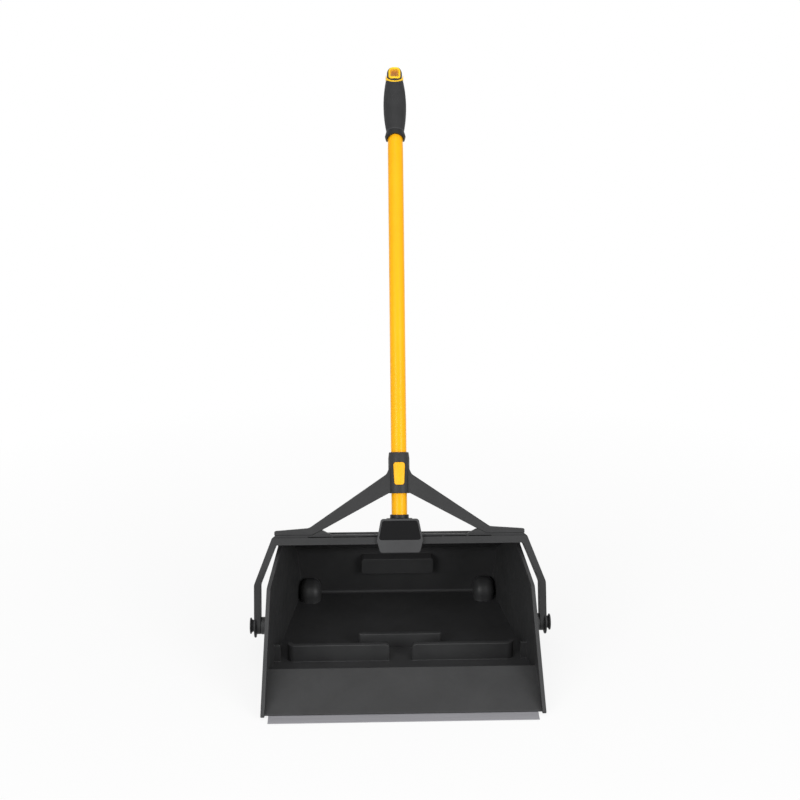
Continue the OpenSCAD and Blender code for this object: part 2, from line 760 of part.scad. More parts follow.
// Brace: collar, legs and feet
function leg_outline() = let (root_x = collar_d / 2 + root_run, root_z = leg_up(root_x) + root_rise)
    [[0, leg_low_z], [leg_toe_x, leg_toe_z], [leg_toe_x + wedge_run, bar_top_z],
        [brace_w / 2, bar_top_z], [brace_w / 2, bar_top_z + foot_h], [leg_heel_x, leg_heel_z],
        [root_x, leg_up(root_x)], [collar_d / 2 - root_run, root_z], [0, root_z]];
leg_radii = [0, 0, 0, 0, foot_r, leg_heel_r, root_r, 0, 0];
module leg_bay() {
    pitch = (leg_bay_end - leg_bay_start) / leg_bays;
    for (i = [0 : leg_bays - 1])
        let (x0 = leg_bay_start + i * pitch + leg_skin / 2, x1 = x0 + pitch - leg_skin)
            front_slab(-brace_l / 2 + leg_skin, brace_l)
                polygon([[x0, leg_low(x0) + leg_skin], [x1, leg_low(x1) + leg_skin],
                    [x1, leg_up(x1) - leg_skin], [x0, leg_up(x0) - leg_skin]]);
}
function button_outline(grow) = rounded([
    [-button_low_w / 2 - grow, button_z - grow], [button_low_w / 2 + grow, button_z - grow],
    [button_w / 2 + grow, button_z + button_h + grow], [-button_w / 2 - grow, button_z + button_h + grow]],
    [for (i = [0 : 3]) button_r + grow]);
module brace() color("#44464a") yoke_frame() difference() {
    union() {
        translate([0, 0, collar_z]) rotate_extrude()
            polygon([[0, 0], [collar_d / 2, 0], [collar_d / 2, collar_l - collar_taper_h],
                [collar_top_d / 2, collar_l], [0, collar_l]]);
        both_sides() difference() {
            front_slab(-brace_l / 2, brace_l / 2) polygon(rounded(leg_outline(), leg_radii));
            leg_bay();
        }
    }
    translate([0, 0, bar_top_z]) cylinder(r = tube_r + tube_fit, h = collar_z + collar_l);
    front_slab(-collar_d, 0) polygon(button_outline(button_gap));
    both_sides() brace_screw_places()
        translate([0, 0, bar_top_z - over])
            cylinder(d = screw_d + 2 * run_fit, h = screw_grip + over + run_fit);
}
module brace_screws() color("#8d9094") yoke_frame() both_sides() brace_screw_places() {
    translate([0, 0, bar_z]) cylinder(d = screw_head_d, h = screw_head_h);
    translate([0, 0, bar_z]) cylinder(d = screw_d, h = bar_top_z - bar_z + screw_grip);
}

// Socket ring, cover and bare plate
module socket_ring() color("#303135") yoke_frame() translate([0, 0, socket_z]) difference() {
    cylinder(d = socket_ring_d, h = socket_ring_h);
    translate([0, 0, -over]) cylinder(r = tube_r + tube_fit, h = socket_ring_h + 2 * over);
}
cover_right = [[cover_low_w / 2, cover_low_z], [cover_w / 2, cover_wide_z], [cover_top_w / 2, cover_top_z]];
cover_outline = concat(cover_right, mirrored(cover_right));
module label_shape(grow) {
    inner = inset(cover_outline, label_margin - grow);
    polygon(rounded([[-cover_label_x(grow), label_low_z - grow], [cover_label_x(grow), label_low_z - grow],
        inner[2], inner[3]], [for (i = [0 : 3]) label_r]));
}
function cover_label_x(grow) = cover_w / 2 - label_margin + grow;
module socket_cover() color("#6a6b70") yoke_frame() difference() {
    front_slab(-bar_front - cover_t, -bar_front) polygon(rounded(cover_outline, [for (i = [0 : 5]) cover_r]));
    front_slab(-bar_front - cover_t - over, -bar_front - cover_t + label_t) label_shape(seat_gap);
    cover_screw_places()
        cylinder(d = cover_screw_d + 2 * run_fit, h = bar_front + cover_screw_grip + run_fit);
}
module label_plate() color("#1c1c1f") yoke_frame()
    front_slab(-bar_front - cover_t, -bar_front - cover_t + label_t) label_shape(0);
module cover_screws() color("#8d9094") yoke_frame() cover_screw_places() {
    translate([0, 0, -bar_back]) cylinder(d = cover_screw_head_d, h = cover_screw_head_h);
    translate([0, 0, -bar_back]) cylinder(d = cover_screw_d, h = bar_back + bar_front + cover_screw_grip);
}

// Tube with one bend, ending inside the grip
module bent_rod(r, extra) translate([0, bend_r, bend_z]) rotate([90, 0, -90]) {
    rotate([90, 0, 0]) translate([bend_r, 0, 0]) rotate([0, 0, 180])
        cylinder(r = r, h = bend_z - tube_low_z + extra);
    rotate_extrude(angle = bend_angle) translate([bend_r, 0]) circle(r = r);
    rotate([0, 0, bend_angle]) translate([bend_r, -over, 0]) rotate([-90, 0, 0])
        cylinder(r = r - swage, h = grip_lead + tube_top_z + extra + over);
}
module tube() color("#f2b41c") yoke_frame() difference() {
    bent_rod(tube_r, 0);
    bent_rod(tube_r - tube_wall, over);
    translate([0, 0, button_mid_z]) rotate([90, 0, 0]) cylinder(d = stem_d + 2 * stem_gap, h = tube_d);
}

// Push button and its leaf spring
module release_button() color("#f5c02e") yoke_frame() {
    intersection() {
        front_slab(-collar_d, 0) polygon(button_outline(0));
        upright_slab(collar_z, collar_z + collar_l) difference() {
            circle(r = button_face_r);
            circle(r = button_inner_r);
        }
    }
    translate([0, -stem_inner_y, button_mid_z]) rotate([90, 0, 0])
        cylinder(d = stem_d, h = (button_face_r + button_inner_r) / 2 - stem_inner_y);
}
module button_spring() color("#b5b8bc") yoke_frame()
    translate([0, 0, button_mid_z]) side_slab(-spring_w / 2, spring_w / 2) {
        back = sqrt(pow(tube_r - tube_wall, 2) - pow(spring_w / 2, 2)) - seat_gap;
        path = [[-stem_inner_y, -stem_d / 2], [-stem_inner_y, stem_d / 2],
            [back - 2 * spring_turn, spring_l - spring_turn], [back - spring_turn, spring_l],
            [back, spring_l - spring_turn], [back, -spring_foot]];
        polygon(strip(path, spring_t));
    }

// Grip: ring, sleeve, core and cap
module ring_profile()
    polygon(rounded([[grip_bore_r, 0], [ring_foot_d / 2, 0], [ring_d / 2, ring_h / 2],
        [sleeve_end_d / 2, ring_h], [grip_bore_r, ring_h]], [0, 0, ring_mid_r, 0, 0]));
module saddle(r) translate([0, ring_d, saddle_z]) rotate([90, 0, 0]) cylinder(r = r, h = 2 * ring_d);
module grip_ring() color("#202124") grip_frame() difference() {
    half = ring_d / 2;
    arch_r = (pow(half, 2) + pow(ring_arch, 2)) / (2 * ring_arch);
    rotate_extrude() ring_profile();
    translate([0, ring_d, ring_arch - arch_r]) rotate([90, 0, 0])
        cylinder(r = arch_r, h = 2 * ring_d, $fn = 128);
}
module grip_sleeve() color("#2b2c2f") grip_frame() difference() {
    length = sleeve_l + saddle_rise;
    swell = (sleeve_d - sleeve_end_d) / 2;
    arc_r = (pow(length / 2, 2) + pow(swell, 2)) / (2 * swell);
    translate([0, 0, sleeve_z]) rotate_extrude() intersection() {
        translate([grip_bore_r, 0]) square([sleeve_d / 2, length]);
        translate([sleeve_d / 2 - arc_r, length / 2]) circle(r = arc_r, $fn = 256);
    }
    saddle(saddle_r);
}
module eyelet_shape(cut) {
    half_w = eyelet_w / 2 - cut;
    translate([0, eyelet_low_z])
        polygon(rounded(box_points(-half_w, cut, half_w, eyelet_h - cut),
            [for (i = [0 : 3]) max(eyelet_r - cut, over)]));
}
module cap_shape()
    polygon(rounded(box_points(-cap_w / 2, cap_low_z, cap_w / 2, cap_low_z + cap_h),
        [cap_w * cap_low_share, cap_w * cap_low_share, cap_r, cap_r]));
module grip_core() color("#f2b41c") grip_frame() {
    translate([0, 0, tube_top_z - plug_l])
        cylinder(r = grip_bore_r - tube_wall - 2 * tube_fit, h = plug_l + band_t);
    translate([0, 0, tube_top_z])
        cylinder(r = grip_bore_r - tube_fit, h = core_z + band_t - tube_top_z);
    intersection() {
        translate([0, 0, core_z]) cylinder(d = band_d, h = saddle_r);
        difference() {
            saddle(band_r);
            saddle(cap_seat_r);
        }
    }
    translate([-stem_w / 2, -stem_l / 2, core_z])
        cube([stem_w, stem_l, eyelet_low_z + eyelet_wall / 2 - core_z]);
    intersection() {
        front_slab(-ring_d, ring_d) difference() {
            eyelet_shape(0);
            eyelet_shape(eyelet_wall);
        }
        cylinder(r = cap_l / 2 + eyelet_proud, h = core_z + 2 * ring_d);
    }
}
module grip_cap() color("#202124") grip_frame() difference() {
    intersection() {
        front_slab(-ring_d, ring_d) cap_shape();
        cylinder(d = cap_l, h = core_z + 2 * ring_d);
    }
    front_slab(-ring_d, ring_d) eyelet_shape(-tube_fit);
    translate([-stem_w / 2 - tube_fit, -stem_l / 2 - tube_fit, core_z])
        cube([stem_w + 2 * tube_fit, stem_l + 2 * tube_fit, cap_h]);
}

pan_shell();
lip_strip();
lip_rivets();
wheel_axle(-1);  // wheel_axle_left
wheel_axle(1);  // wheel_axle_right
wheel_hub(-1);  // wheel_hub_left
wheel_hub(1);  // wheel_hub_right
wheel_tyre(-1);  // wheel_tyre_left
wheel_tyre(1);  // wheel_tyre_right
pivot_pin(-1);  // pivot_pin_left
pivot_pin(1);  // pivot_pin_right
pivot_bush(-1);  // pivot_bush_left
pivot_bush(1);  // pivot_bush_right
bail();
brace();
brace_screws();
socket_ring();
socket_cover();
label_plate();
cover_screws();
tube();
grip_ring();
grip_sleeve();
grip_core();
grip_cap();
release_button();
button_spring();
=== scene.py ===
"""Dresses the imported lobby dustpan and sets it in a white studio.

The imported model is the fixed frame: X runs to the right, Y to the back and Z up, in metres. Each piece is
modelled on the bench from a primitive, or finished from a merged copy of its solid, and rides the body that
carries it.
"""

import logging
import math
from collections.abc import Callable, Iterator
from contextlib import contextmanager
from dataclasses import dataclass, field, replace
from enum import Enum

import bmesh
import bpy
from mathutils import Matrix, Vector
from mathutils.bvhtree import BVHTree
from mathutils.geometry import intersect_line_line_2d, intersect_point_line
from mathutils.kdtree import KDTree

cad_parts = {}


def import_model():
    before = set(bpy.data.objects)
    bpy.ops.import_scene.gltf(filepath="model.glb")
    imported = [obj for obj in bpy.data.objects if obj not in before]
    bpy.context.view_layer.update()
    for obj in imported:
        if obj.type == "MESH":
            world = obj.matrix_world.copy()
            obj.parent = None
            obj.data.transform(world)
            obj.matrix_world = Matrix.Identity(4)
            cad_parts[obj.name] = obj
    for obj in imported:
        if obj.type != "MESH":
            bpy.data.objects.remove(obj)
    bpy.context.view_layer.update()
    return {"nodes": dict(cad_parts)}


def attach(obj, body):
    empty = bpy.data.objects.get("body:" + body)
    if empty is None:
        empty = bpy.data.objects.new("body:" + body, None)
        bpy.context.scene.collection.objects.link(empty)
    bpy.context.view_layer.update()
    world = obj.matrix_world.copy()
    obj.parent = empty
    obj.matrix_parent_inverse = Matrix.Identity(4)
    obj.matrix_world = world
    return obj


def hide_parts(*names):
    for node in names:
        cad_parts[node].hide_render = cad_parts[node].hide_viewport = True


LOG = logging.getLogger("dustpan")
MM = 0.001

# Places that are nearer than this count as one
NEAR = 0.001 * MM

# Frames of the yoke and the grip, as the solids have them
PIVOT = Vector((0.0, 162.0, 66.4)) * MM
LEAN = math.radians(22.5)
BEND = math.radians(8.0)
BEND_START = 746.0 * MM
BEND_RADIUS = 260.0 * MM
GRIP_LEAD = 10.0 * MM
YOKE_FRAME = Matrix.Translation(PIVOT) @ Matrix.Rotation(-LEAN, 4, "X")
GRIP_FRAME = (
    YOKE_FRAME
    @ Matrix.Translation((0.0, BEND_RADIUS, BEND_START))
    @ Matrix.Rotation(-BEND, 4, "X")
    @ Matrix.Translation((0.0, -BEND_RADIUS, GRIP_LEAD))
)

# Types that the hints below name; a feed is what a node's input can take
Piece = bpy.types.Object
Socket = bpy.types.NodeSocket
Pair = tuple[float, float]
Triple = tuple[float, float, float]
Feed = Socket | float | tuple[float, ...] | None


class Body(Enum):
    """The moving bodies of the dustpan."""

    PAN = "pan"
    WHEEL_LEFT = "wheel_left"
    WHEEL_RIGHT = "wheel_right"
    HANDLE = "handle"
    BUTTON = "button"


class Side(Enum):
    """The two sides of the dustpan, as the sign of X."""

    LEFT = -1
    RIGHT = 1

    @property
    def word(self) -> str:
        """The side's word in node names."""
        return self.name.lower()


class Element(Enum):
    """What can be picked on a mesh, as the name of its list."""

    EDGE = "edges"
    FACE = "faces"


@dataclass(frozen=True)
class Seat:
    """Where a piece belongs: its body, the solid that it stands for and its material slot."""

    body: Body
    node: str
    slot: str


def rotation(degrees: float, axis: str) -> Matrix:
    """A turn about an axis through the origin."""
    return Matrix.Rotation(math.radians(degrees), 4, axis)


def clamp(value: float) -> float:
    """A value held between 0 and 1."""
    return min(1.0, max(0.0, value))


def tint(colour: Triple, share: float) -> Triple:
    """A linear colour made lighter or darker by a share."""
    return tuple(min(1.0, part * share) for part in colour)


def mirrored(half: list[Pair]) -> list[Pair]:
    """An outline from its half at negative X."""
    return half + [(-along, radius) for along, radius in reversed(half)]


class Bench:
    """The modelling bench, which edits one mesh object at a time."""

    @staticmethod
    def add(name: str, data: bpy.types.ID) -> Piece:
        """Adds an object to the scene.

        Args:
            name: The object's name.
            data: Its mesh, lamp or camera.

        Returns:
            The new object.
        """
        obj = bpy.data.objects.new(name, data)
        bpy.context.scene.collection.objects.link(obj)
        return obj

    @staticmethod
    def aim(obj: Piece, spot: Triple, way: Vector) -> None:
        """Puts a lamp or camera at a spot and turns it to look along a way."""
        obj.location = spot
        obj.rotation_euler = way.to_track_quat("-Z", "Y").to_euler()

    @staticmethod
    def take(obj: Piece) -> None:
        """Makes one object the only selected and active one.

        Args:
            obj: The object.
        """
        bpy.ops.object.select_all(action="DESELECT")
        obj.select_set(True)
        bpy.context.view_layer.objects.active = obj

    @staticmethod
    @contextmanager
    def editing(obj: Piece) -> Iterator[None]:
        """Opens an object's mesh for editing, with nothing selected.

        Args:
            obj: The object to edit.
        """
        Bench.take(obj)
        bpy.ops.object.mode_set(mode="EDIT")
        bpy.ops.mesh.select_mode(type="VERT")
        bpy.ops.mesh.select_all(action="DESELECT")
        try:
            yield
        finally:
            bpy.ops.object.mode_set(mode="OBJECT")

    @staticmethod
    def pick(obj: Piece, element: Element, test: Callable[..., bool]) -> None:
        """Selects the edges or faces that pass a test, in edit mode.

        Args:
            obj: The object in edit mode.
            element: What is picked.
            test: Takes one edge or face and says whether it is selected.
        """
        bpy.ops.mesh.select_mode(type=element.name)
        bpy.ops.mesh.select_all(action="DESELECT")
        mesh = bmesh.from_edit_mesh(obj.data)
        for item in [item for item in getattr(mesh, element.value) if test(item)]:
            item.select_set(True)
        mesh.select_flush_mode()
        bmesh.update_edit_mesh(obj.data)

    @staticmethod
    def primitive(name: str, add: Callable[..., object], **sizes: object) -> Piece:
        """Adds a primitive and names it.

        Args:
            name: The new object's name.
            add: The operator that adds it.
            **sizes: The operator's sizes.

        Returns:
            The new object.
        """
        bpy.ops.object.select_all(action="DESELECT")
        add(**sizes)
        obj = bpy.context.view_layer.objects.active
        obj.name = name
        obj.data.name = name
        return obj

    @staticmethod
    def extrude(offset: Vector) -> None:
        """Extrudes the selection along an offset."""
        bpy.ops.mesh.extrude_region_move(TRANSFORM_OT_translate={"value": tuple(offset)})

    @staticmethod
    def modifier(obj: Piece, kind: str, **settings: object) -> None:
        """Adds a modifier and applies it.

        Args:
            obj: The object that takes it.
            kind: The modifier's type.
            **settings: The modifier's settings.
        """
        Bench.take(obj)
        bpy.ops.object.modifier_add(type=kind)
        made = obj.modifiers[-1]
        for key, value in settings.items():
            setattr(made, key, value)
        bpy.ops.object.modifier_apply(modifier=made.name)

    @staticmethod
    def settle(obj: Piece, place: Matrix) -> None:
        """Moves an object's mesh to its place, with the object left at the origin.

        Args:
            obj: The object.
            place: Its place.
        """
        Bench.take(obj)
        obj.matrix_world = place @ obj.matrix_world
        bpy.ops.object.transform_apply(location=True, rotation=True, scale=True)

    @staticmethod
    def cut(obj: Piece, cutter: Piece, place: Matrix) -> None:
        """Cuts one object out of another and removes the cutter.

        Args:
            obj: The object that is cut.
            cutter: The object that cuts.
            place: Where the cutter goes first.
        """
        Bench.settle(cutter, place)
        Bench.modifier(obj, "BOOLEAN", operation="DIFFERENCE", object=cutter, solver="EXACT")
        bpy.data.objects.remove(cutter)

    @staticmethod
    def tidy(obj: Piece, outwards: bool = True) -> None:
        """Merges an object's doubles.

        Args:
            obj: The object.
            outwards: Whether its faces are turned outwards too.
        """
        with Bench.editing(obj):
            bpy.ops.mesh.select_all(action="SELECT")
            bpy.ops.mesh.remove_doubles(threshold=NEAR)
            if outwards:
                bpy.ops.mesh.normals_make_consistent(inside=False)

    @staticmethod
    def shade(obj: Piece, angle: float = 36.0) -> None:
        """Shades an object smooth, with flat faces kept flat.

        Args:
            obj: The object.
            angle: The angle in degrees past which an edge stays sharp.
        """
        Bench.take(obj)
        bpy.ops.object.shade_smooth_by_angle(angle=math.radians(angle))
        Bench.modifier(obj, "WEIGHTED_NORMAL", keep_sharp=True)

    @staticmethod
    def twin(obj: Piece, name: str, place: Matrix) -> Piece:
        """Copies an object with its own mesh.

        Args:
            obj: The object to copy.
            name: The copy's name.
            place: Where the copy is settled.

        Returns:
            The copy.
        """
        copy = Bench.add(name, obj.data.copy())
        Bench.settle(copy, place)
        return copy

    @staticmethod
    def turned(name: str, outline: list[Pair], steps: int) -> Piece:
        """Turns an outline round the X axis, as on a lathe.

        Args:
            name: The new object's name.
            outline: Points as (place along X, radius), in metres; a closed ring if no end lies on the axis.
            steps: Number of steps of the turn.

        Returns:
            The turned object, at the origin.
        """
        obj = Bench.primitive(
            name, bpy.ops.mesh.primitive_circle_add, vertices=len(outline), radius=outline[0][1]
        )
        with Bench.editing(obj):
            mesh = bmesh.from_edit_mesh(obj.data)
            mesh.verts.ensure_lookup_table()
            for vert, (along, radius) in zip(mesh.verts, outline):
                vert.co = (along, 0.0, radius)
            bmesh.update_edit_mesh(obj.data)
            if min(radius for _, radius in outline) < NEAR:
                Bench.pick(obj, Element.EDGE, lambda edge: all(v.co.z < NEAR for v in edge.verts))
                bpy.ops.mesh.delete(type="EDGE_FACE")
            bpy.ops.mesh.select_mode(type="EDGE")
            bpy.ops.mesh.select_all(action="SELECT")
            bpy.ops.mesh.spin(steps=steps, angle=2.0 * math.pi, center=(0, 0, 0), axis=(1, 0, 0))
        Bench.tidy(obj)
        return obj


@dataclass(frozen=True)
class EdgeBreak:
    """The rounding of a piece's sharp edges, in metres and degrees, with or without its inner corners."""

    width: float = 0.8 * MM
    segments: int = 2
    angle: float = 40.0
    inner: bool = True


class Stock:
    """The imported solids, from which finished copies are taken.

    Attributes:
        weld: The distance within which a solid's loose points are merged, in metres.
        flat: The angle up to which its triangles make one flat face, in degrees.
    """

    weld: float = 0.002 * MM
    flat: float = 0.5

    def __init__(self, nodes: dict[str, Piece]) -> None:
        """Keeps the frame's nodes by name."""
        self.nodes = nodes

    def copy(self, node: str) -> Piece:
        """Takes a merged copy of a solid, with its flat faces whole again.

        Args:
            node: The solid's name.

        Returns:
            The copy, named for its solid.
        """
        obj = Bench.add(f"{node}_made", self.nodes[node].data.copy())
        obj.data.materials.clear()
        Bench.take(obj)
        bpy.ops.mesh.customdata_custom_splitnormals_clear()
        with Bench.editing(obj):
            bpy.ops.mesh.select_all(action="SELECT")
            bpy.ops.mesh.remove_doubles(threshold=self.weld)
            bpy.ops.mesh.dissolve_limited(angle_limit=math.radians(self.flat))
        return obj

    def finished(self, node: str, edge: EdgeBreak) -> Piece:
        """Takes a copy of a solid with its sharp edges rounded.

        Args:
            node: The solid's name.
            edge: The rounding of its edges; their faces take the second material.

        Returns:
            The finished copy.
        """
        obj = self.copy(node)
        Rounding(obj, edge).apply()
        Bench.tidy(obj, outwards=False)
        Bench.shade(obj)
        return obj


class Rounding:
    """Rounds a merged copy's sharp edges, and eases the rounding where it would cross itself or stray.

    Attributes:
        tries: How often it is rounded at most.
        halvings: How many of the tries halve the rounding at a fault, before it is left out there.
        least: The share of the full rounding below which it is left out.
        room_share: The share of the room at an edge's ends that its rounding may take.
        most_room: The room where nothing is near, in metres.
        onward: The cosine below which another sharp edge runs on from this one.
        slant_least: The least sine that counts for an edge that leaves at a slant.
        stray_share: How far a point may leave the plain copy's skin, as a share of the width.
        reach_share: How far a fault reaches, as a share of the width.
        turned_limit: The turned area that counts as a fault, in square metres.
    """

    tries: int = 12
    halvings: int = 3
    least: float = 0.1
    room_share: float = 0.42
    most_room: float = 1.0
    onward: float = -0.8
    slant_least: float = 0.3
    stray_share: float = 0.45
    reach_share: float = 2.5
    turned_limit: float = 0.02 * MM**2

    def __init__(self, obj: Piece, edge: EdgeBreak) -> None:
        """Finds the copy's sharp edges and weighs each one by the room at its ends.

        Args:
            obj: The merged copy.
            edge: The rounding of its edges.
        """
        self.obj = obj
        self.edge = edge
        self.plain = obj.data
        mesh = bmesh.new()
        mesh.from_mesh(obj.data)
        self.skin = BVHTree.FromBMesh(mesh)
        limit = math.radians(edge.angle)
        sharp = {
            item
            for item in mesh.edges
            if item.is_manifold and item.calc_face_angle(0.0) > limit and (edge.inner or item.is_convex)
        }
        self.ends = {item.index: tuple(vert.co.copy() for vert in item.verts) for item in sharp}
        self.weights = {}
        for item in sharp:
            room = min(self.room(item, end, sharp) for end in item.verts)
            self.weights[item.index] = min(1.0, self.room_share * room / edge.width)
        mesh.free()

    def room(
        self, item: bmesh.types.BMEdge, end: bmesh.types.BMVert, sharp: set[bmesh.types.BMEdge]
    ) -> float:
        """Finds the shortest edge that leaves a sharp edge's end to one side.

        Args:
            item: The sharp edge.
            end: One of its ends.
            sharp: All sharp edges.

        Returns:
            The length, less where that edge leaves at a slant.
        """
        way = (item.other_vert(end).co - end.co).normalized()
        lengths = [self.most_room]
        for other in end.link_edges:
            along = (other.other_vert(end).co - end.co).normalized().dot(way)
            if other is item or (other in sharp and along < self.onward):
                continue
            slant = math.sqrt(max(0.0, 1.0 - along**2))
            lengths.append(other.calc_length() * max(self.slant_least, slant))
        return min(lengths)

    def apply(self) -> None:
        """Rounds the edges, and rounds them again with less where faults show."""
        for attempt in range(self.tries):
            self.obj.data = self.weighted()
            Bench.modifier(
                self.obj,
                "BEVEL",
                width=self.edge.width,
                segments=self.edge.segments,
                limit_method="WEIGHT",
                use_clamp_overlap=False,
                loop_slide=True,
                material=1,
            )
            spots = self.faults()
            LOG.debug("%s: try %d, %d faults", self.obj.name, attempt, len(spots))
            if not spots:
                break
            self.ease(spots, 0.5 if attempt < self.halvings else 0.0)

    def weighted(self) -> bpy.types.Mesh:
        """Copies the plain mesh and puts the edges' weights on it.

        Returns:
            The weighted mesh.
        """
        mesh = self.plain.copy()
        layer = mesh.attributes.new("bevel_weight_edge", "FLOAT", "EDGE")
        layer.data.foreach_set("value", [self.weights.get(i, 0.0) for i in range(len(mesh.edges))])
        return mesh

    def faults(self) -> list[Vector]:
        """Finds where a rounded face crosses itself or a point leaves the plain copy's skin.

        Returns:
            The places.
        """
        mesh = bmesh.new()
        mesh.from_mesh(self.obj.data)
        mesh.normal_update()
        spots = []
        for vert in mesh.verts:
            place, _, _, stray = self.skin.find_nearest(vert.co)
            if stray > self.stray_share * self.edge.width:
                spots.append(place)
        turned = {}
        for loops in mesh.calc_loop_triangles():
            a, b, c = (loop.vert.co for loop in loops)
            face = loops[0].face
            if len(face.verts) > 3 and (b - a).cross(c - a).dot(face.normal) < -self.turned_limit:
                turned.setdefault(face, []).append((a + b + c) / 3)
        for face, middles in turned.items():
            spots += self.crossings(face) or middles
        mesh.free()
        return spots

    @staticmethod
    def crossings(face: bmesh.types.BMFace) -> list[Vector]:
        """Finds where a face's outline crosses itself.

        Args:
            face: The face.

        Returns:
            The places.
        """
        across = face.normal.orthogonal().normalized()
        up = face.normal.cross(across)
        level = face.normal * face.verts[0].co.dot(face.normal)
        points = [Vector((vert.co.dot(across), vert.co.dot(up))) for vert in face.verts]
        sides = list(zip(points, points[1:] + points[:1]))
        spots = []
        for i, (a, b) in enumerate(sides):
            for c, d in sides[i + 2 : len(sides) - (i == 0)]:
                hit = intersect_line_line_2d(a, b, c, d)
                if hit:
                    spots.append(across * hit.x + up * hit.y + level)
        return spots

    def ease(self, spots: list[Vector], share: float) -> None:
        """Eases the rounding of the edges near some places, down to a plain edge.

        Args:
            spots: The places.
            share: The share of the rounding that stays.
        """
        tree = KDTree(len(spots))
        for i, spot in enumerate(spots):
            tree.insert(spot, i)
        tree.balance()
        reach = self.reach_share * self.edge.width
        for index, (a, b) in self.ends.items():
            for spot, _, _ in tree.find_range((a + b) / 2, (a - b).length / 2 + reach):
                along = clamp(intersect_point_line(spot, a, b)[1])
                if (a.lerp(b, along) - spot).length < reach:
                    eased = self.weights[index] * share
                    self.weights[index] = eased if eased > self.least else 0.0
                    break


class Wiring:
    """Adds and links the nodes of one tree."""

    def __init__(self, tree: bpy.types.NodeTree) -> None:
        """Keeps the tree."""
        self.tree = tree

    def fill(self, node: bpy.types.Node, feeds: dict[int | str, Feed]) -> None:
        """Feeds a node's inputs: links an output, sets a constant, or leaves the input alone for None.

        Args:
            node: The node.
            feeds: What the inputs take, by number, or by name with underscores for spaces.
        """
        for key, value in feeds.items():
            target = node.inputs[key.replace("_", " ") if isinstance(key, str) else key]
            if isinstance(value, Socket):
                self.tree.links.new(value, target)
            elif value is not None:
                target.default_value = value

    def node(
        self, kind: str, *ordered: Feed, out: int | str = 0, operation: str = "", **named: Feed
    ) -> Socket:
        """Adds a node and feeds its inputs.

        Args:
            kind: The node's type, without the prefix that all types share.
            *ordered: What its first inputs take.
            out: The output to give, by name or number.
            operation: The operation of a node that has several.
            **named: What its inputs take by name.

        Returns:
            The output.
        """
        node = self.tree.nodes.new(f"ShaderNode{kind}")
        if operation:
            node.operation = operation
        self.fill(node, {**dict(enumerate(ordered)), **named})
        return node.outputs[out]

    def spread(self, factor: Socket, target: Pair, source: Pair = (0.3, 0.7)) -> Socket:
        """Spreads a factor over another range.

        Args:
            factor: The factor.
            target: The values at the ends of the source range.
            source: The source range.

        Returns:
            The result.
        """
        ends = {"From_Min": source[0], "From_Max": source[1], "To_Min": target[0], "To_Max": target[1]}
        return self.node("MapRange", out="Result", Value=factor, **ends)


@dataclass(frozen=True)
class Cloud:
    """A noise on object coordinates: cells to the metre, finer layers, their strength, stretch and turn."""

    scale: float = 1.0
    detail: float = 2.0
    rough: float = 0.5
    stretch: Triple | None = None
    turn: Triple = (0.0, 0.0, 0.0)


class ShaderBench(Wiring):
    """Wires the nodes of one material round its surface shader."""

    def __init__(self, name: str) -> None:
        """Starts a material with a surface shader and object coordinates.

        Args:
            name: The material's name.
        """
        self.material = bpy.data.materials.new(name)
        self.material.use_nodes = True
        super().__init__(self.material.node_tree)
        self.place = self.node("TexCoord", out="Object")

    def set(self, **values: Feed) -> None:
        """Feeds the surface shader."""
        self.fill(self.tree.nodes["Principled BSDF"], values)

    def noise(self, cloud: Cloud) -> Socket:
        """Adds a noise.

        Args:
            cloud: Its pattern.

        Returns:
            The noise's factor.
        """
        place = self.place
        if cloud.stretch:
            place = self.node("Mapping", Vector=place, Rotation=cloud.turn, Scale=cloud.stretch)
        layers = {"Scale": cloud.scale, "Detail": cloud.detail, "Roughness": cloud.rough}
        return self.node("TexNoise", out="Fac", Vector=place, **layers)

    def shades(self, factor: Socket, colour: Triple, shares: Pair, ends: Pair = (0.3, 0.7)) -> Socket:
        """Runs a colour from darker to lighter along a factor.

        Args:
            factor: The factor.
            colour: The linear colour.
            shares: The shares that darken and lighten it.
            ends: The factor at the darkest and the lightest.

        Returns:
            The shaded colour.
        """
        node = self.tree.nodes.new("ShaderNodeValToRGB")
        for point, place, share in zip(node.color_ramp.elements, ends, shares):
            point.position = place
            point.color = (*tint(colour, share), 1.0)
        self.fill(node, {"Fac": factor})
        return node.outputs["Color"]

    def blend(self, factor: Socket, under: Socket, over: Triple) -> Socket:
        """Mixes a plain colour into another by a factor.

        Args:
            factor: The share of the plain colour.
            under: The colour that it is mixed into.
            over: The plain linear colour.

        Returns:
            The mixed colour.
        """
        node = self.tree.nodes.new("ShaderNodeMix")
        node.data_type = "RGBA"
        self.fill(node, {"Factor": factor, "A": under, "B": (*over, 1.0)})
        return node.outputs["Result"]

    def bump(self, height: Socket, depth: float, strength: float, under: Socket | None = None) -> Socket:
        """Raises the surface by a bump, over another one.

        Args:
            height: The pattern of the height.
            depth: The full height in metres.
            strength: The share of the bump that shows.
            under: The normal that lies under it.

        Returns:
            The bumped normal.
        """
        feeds = {"Strength": strength, "Distance": depth, "Height": height, "Normal": under}
        return self.node("Bump", out="Normal", **feeds)


@dataclass(frozen=True)
class Finish:
    """A surface finish, wired once as a material on object coordinates."""

    name: str
    colour: Triple
    rough: float

    def material(self) -> bpy.types.Material:
        """Finds the finish's material, or wires it at the first call.

        Returns:
            The material.
        """
        found = bpy.data.materials.get(self.name)
        if found:
            return found
        shader = ShaderBench(self.name)
        self.wire(shader)
        return shader.material

    def around(self, spread: Pair) -> Pair:
        """The roughness at the ends of a spread."""
        return self.rough + spread[0], self.rough + spread[1]

    def edge(self) -> "Finish":
        """The finish of a rounded edge: the same, unless a kind of finish has its own."""
        return self

    def wire(self, shader: ShaderBench) -> None:
        """Wires the finish. Each kind of finish has its own."""
        raise NotImplementedError


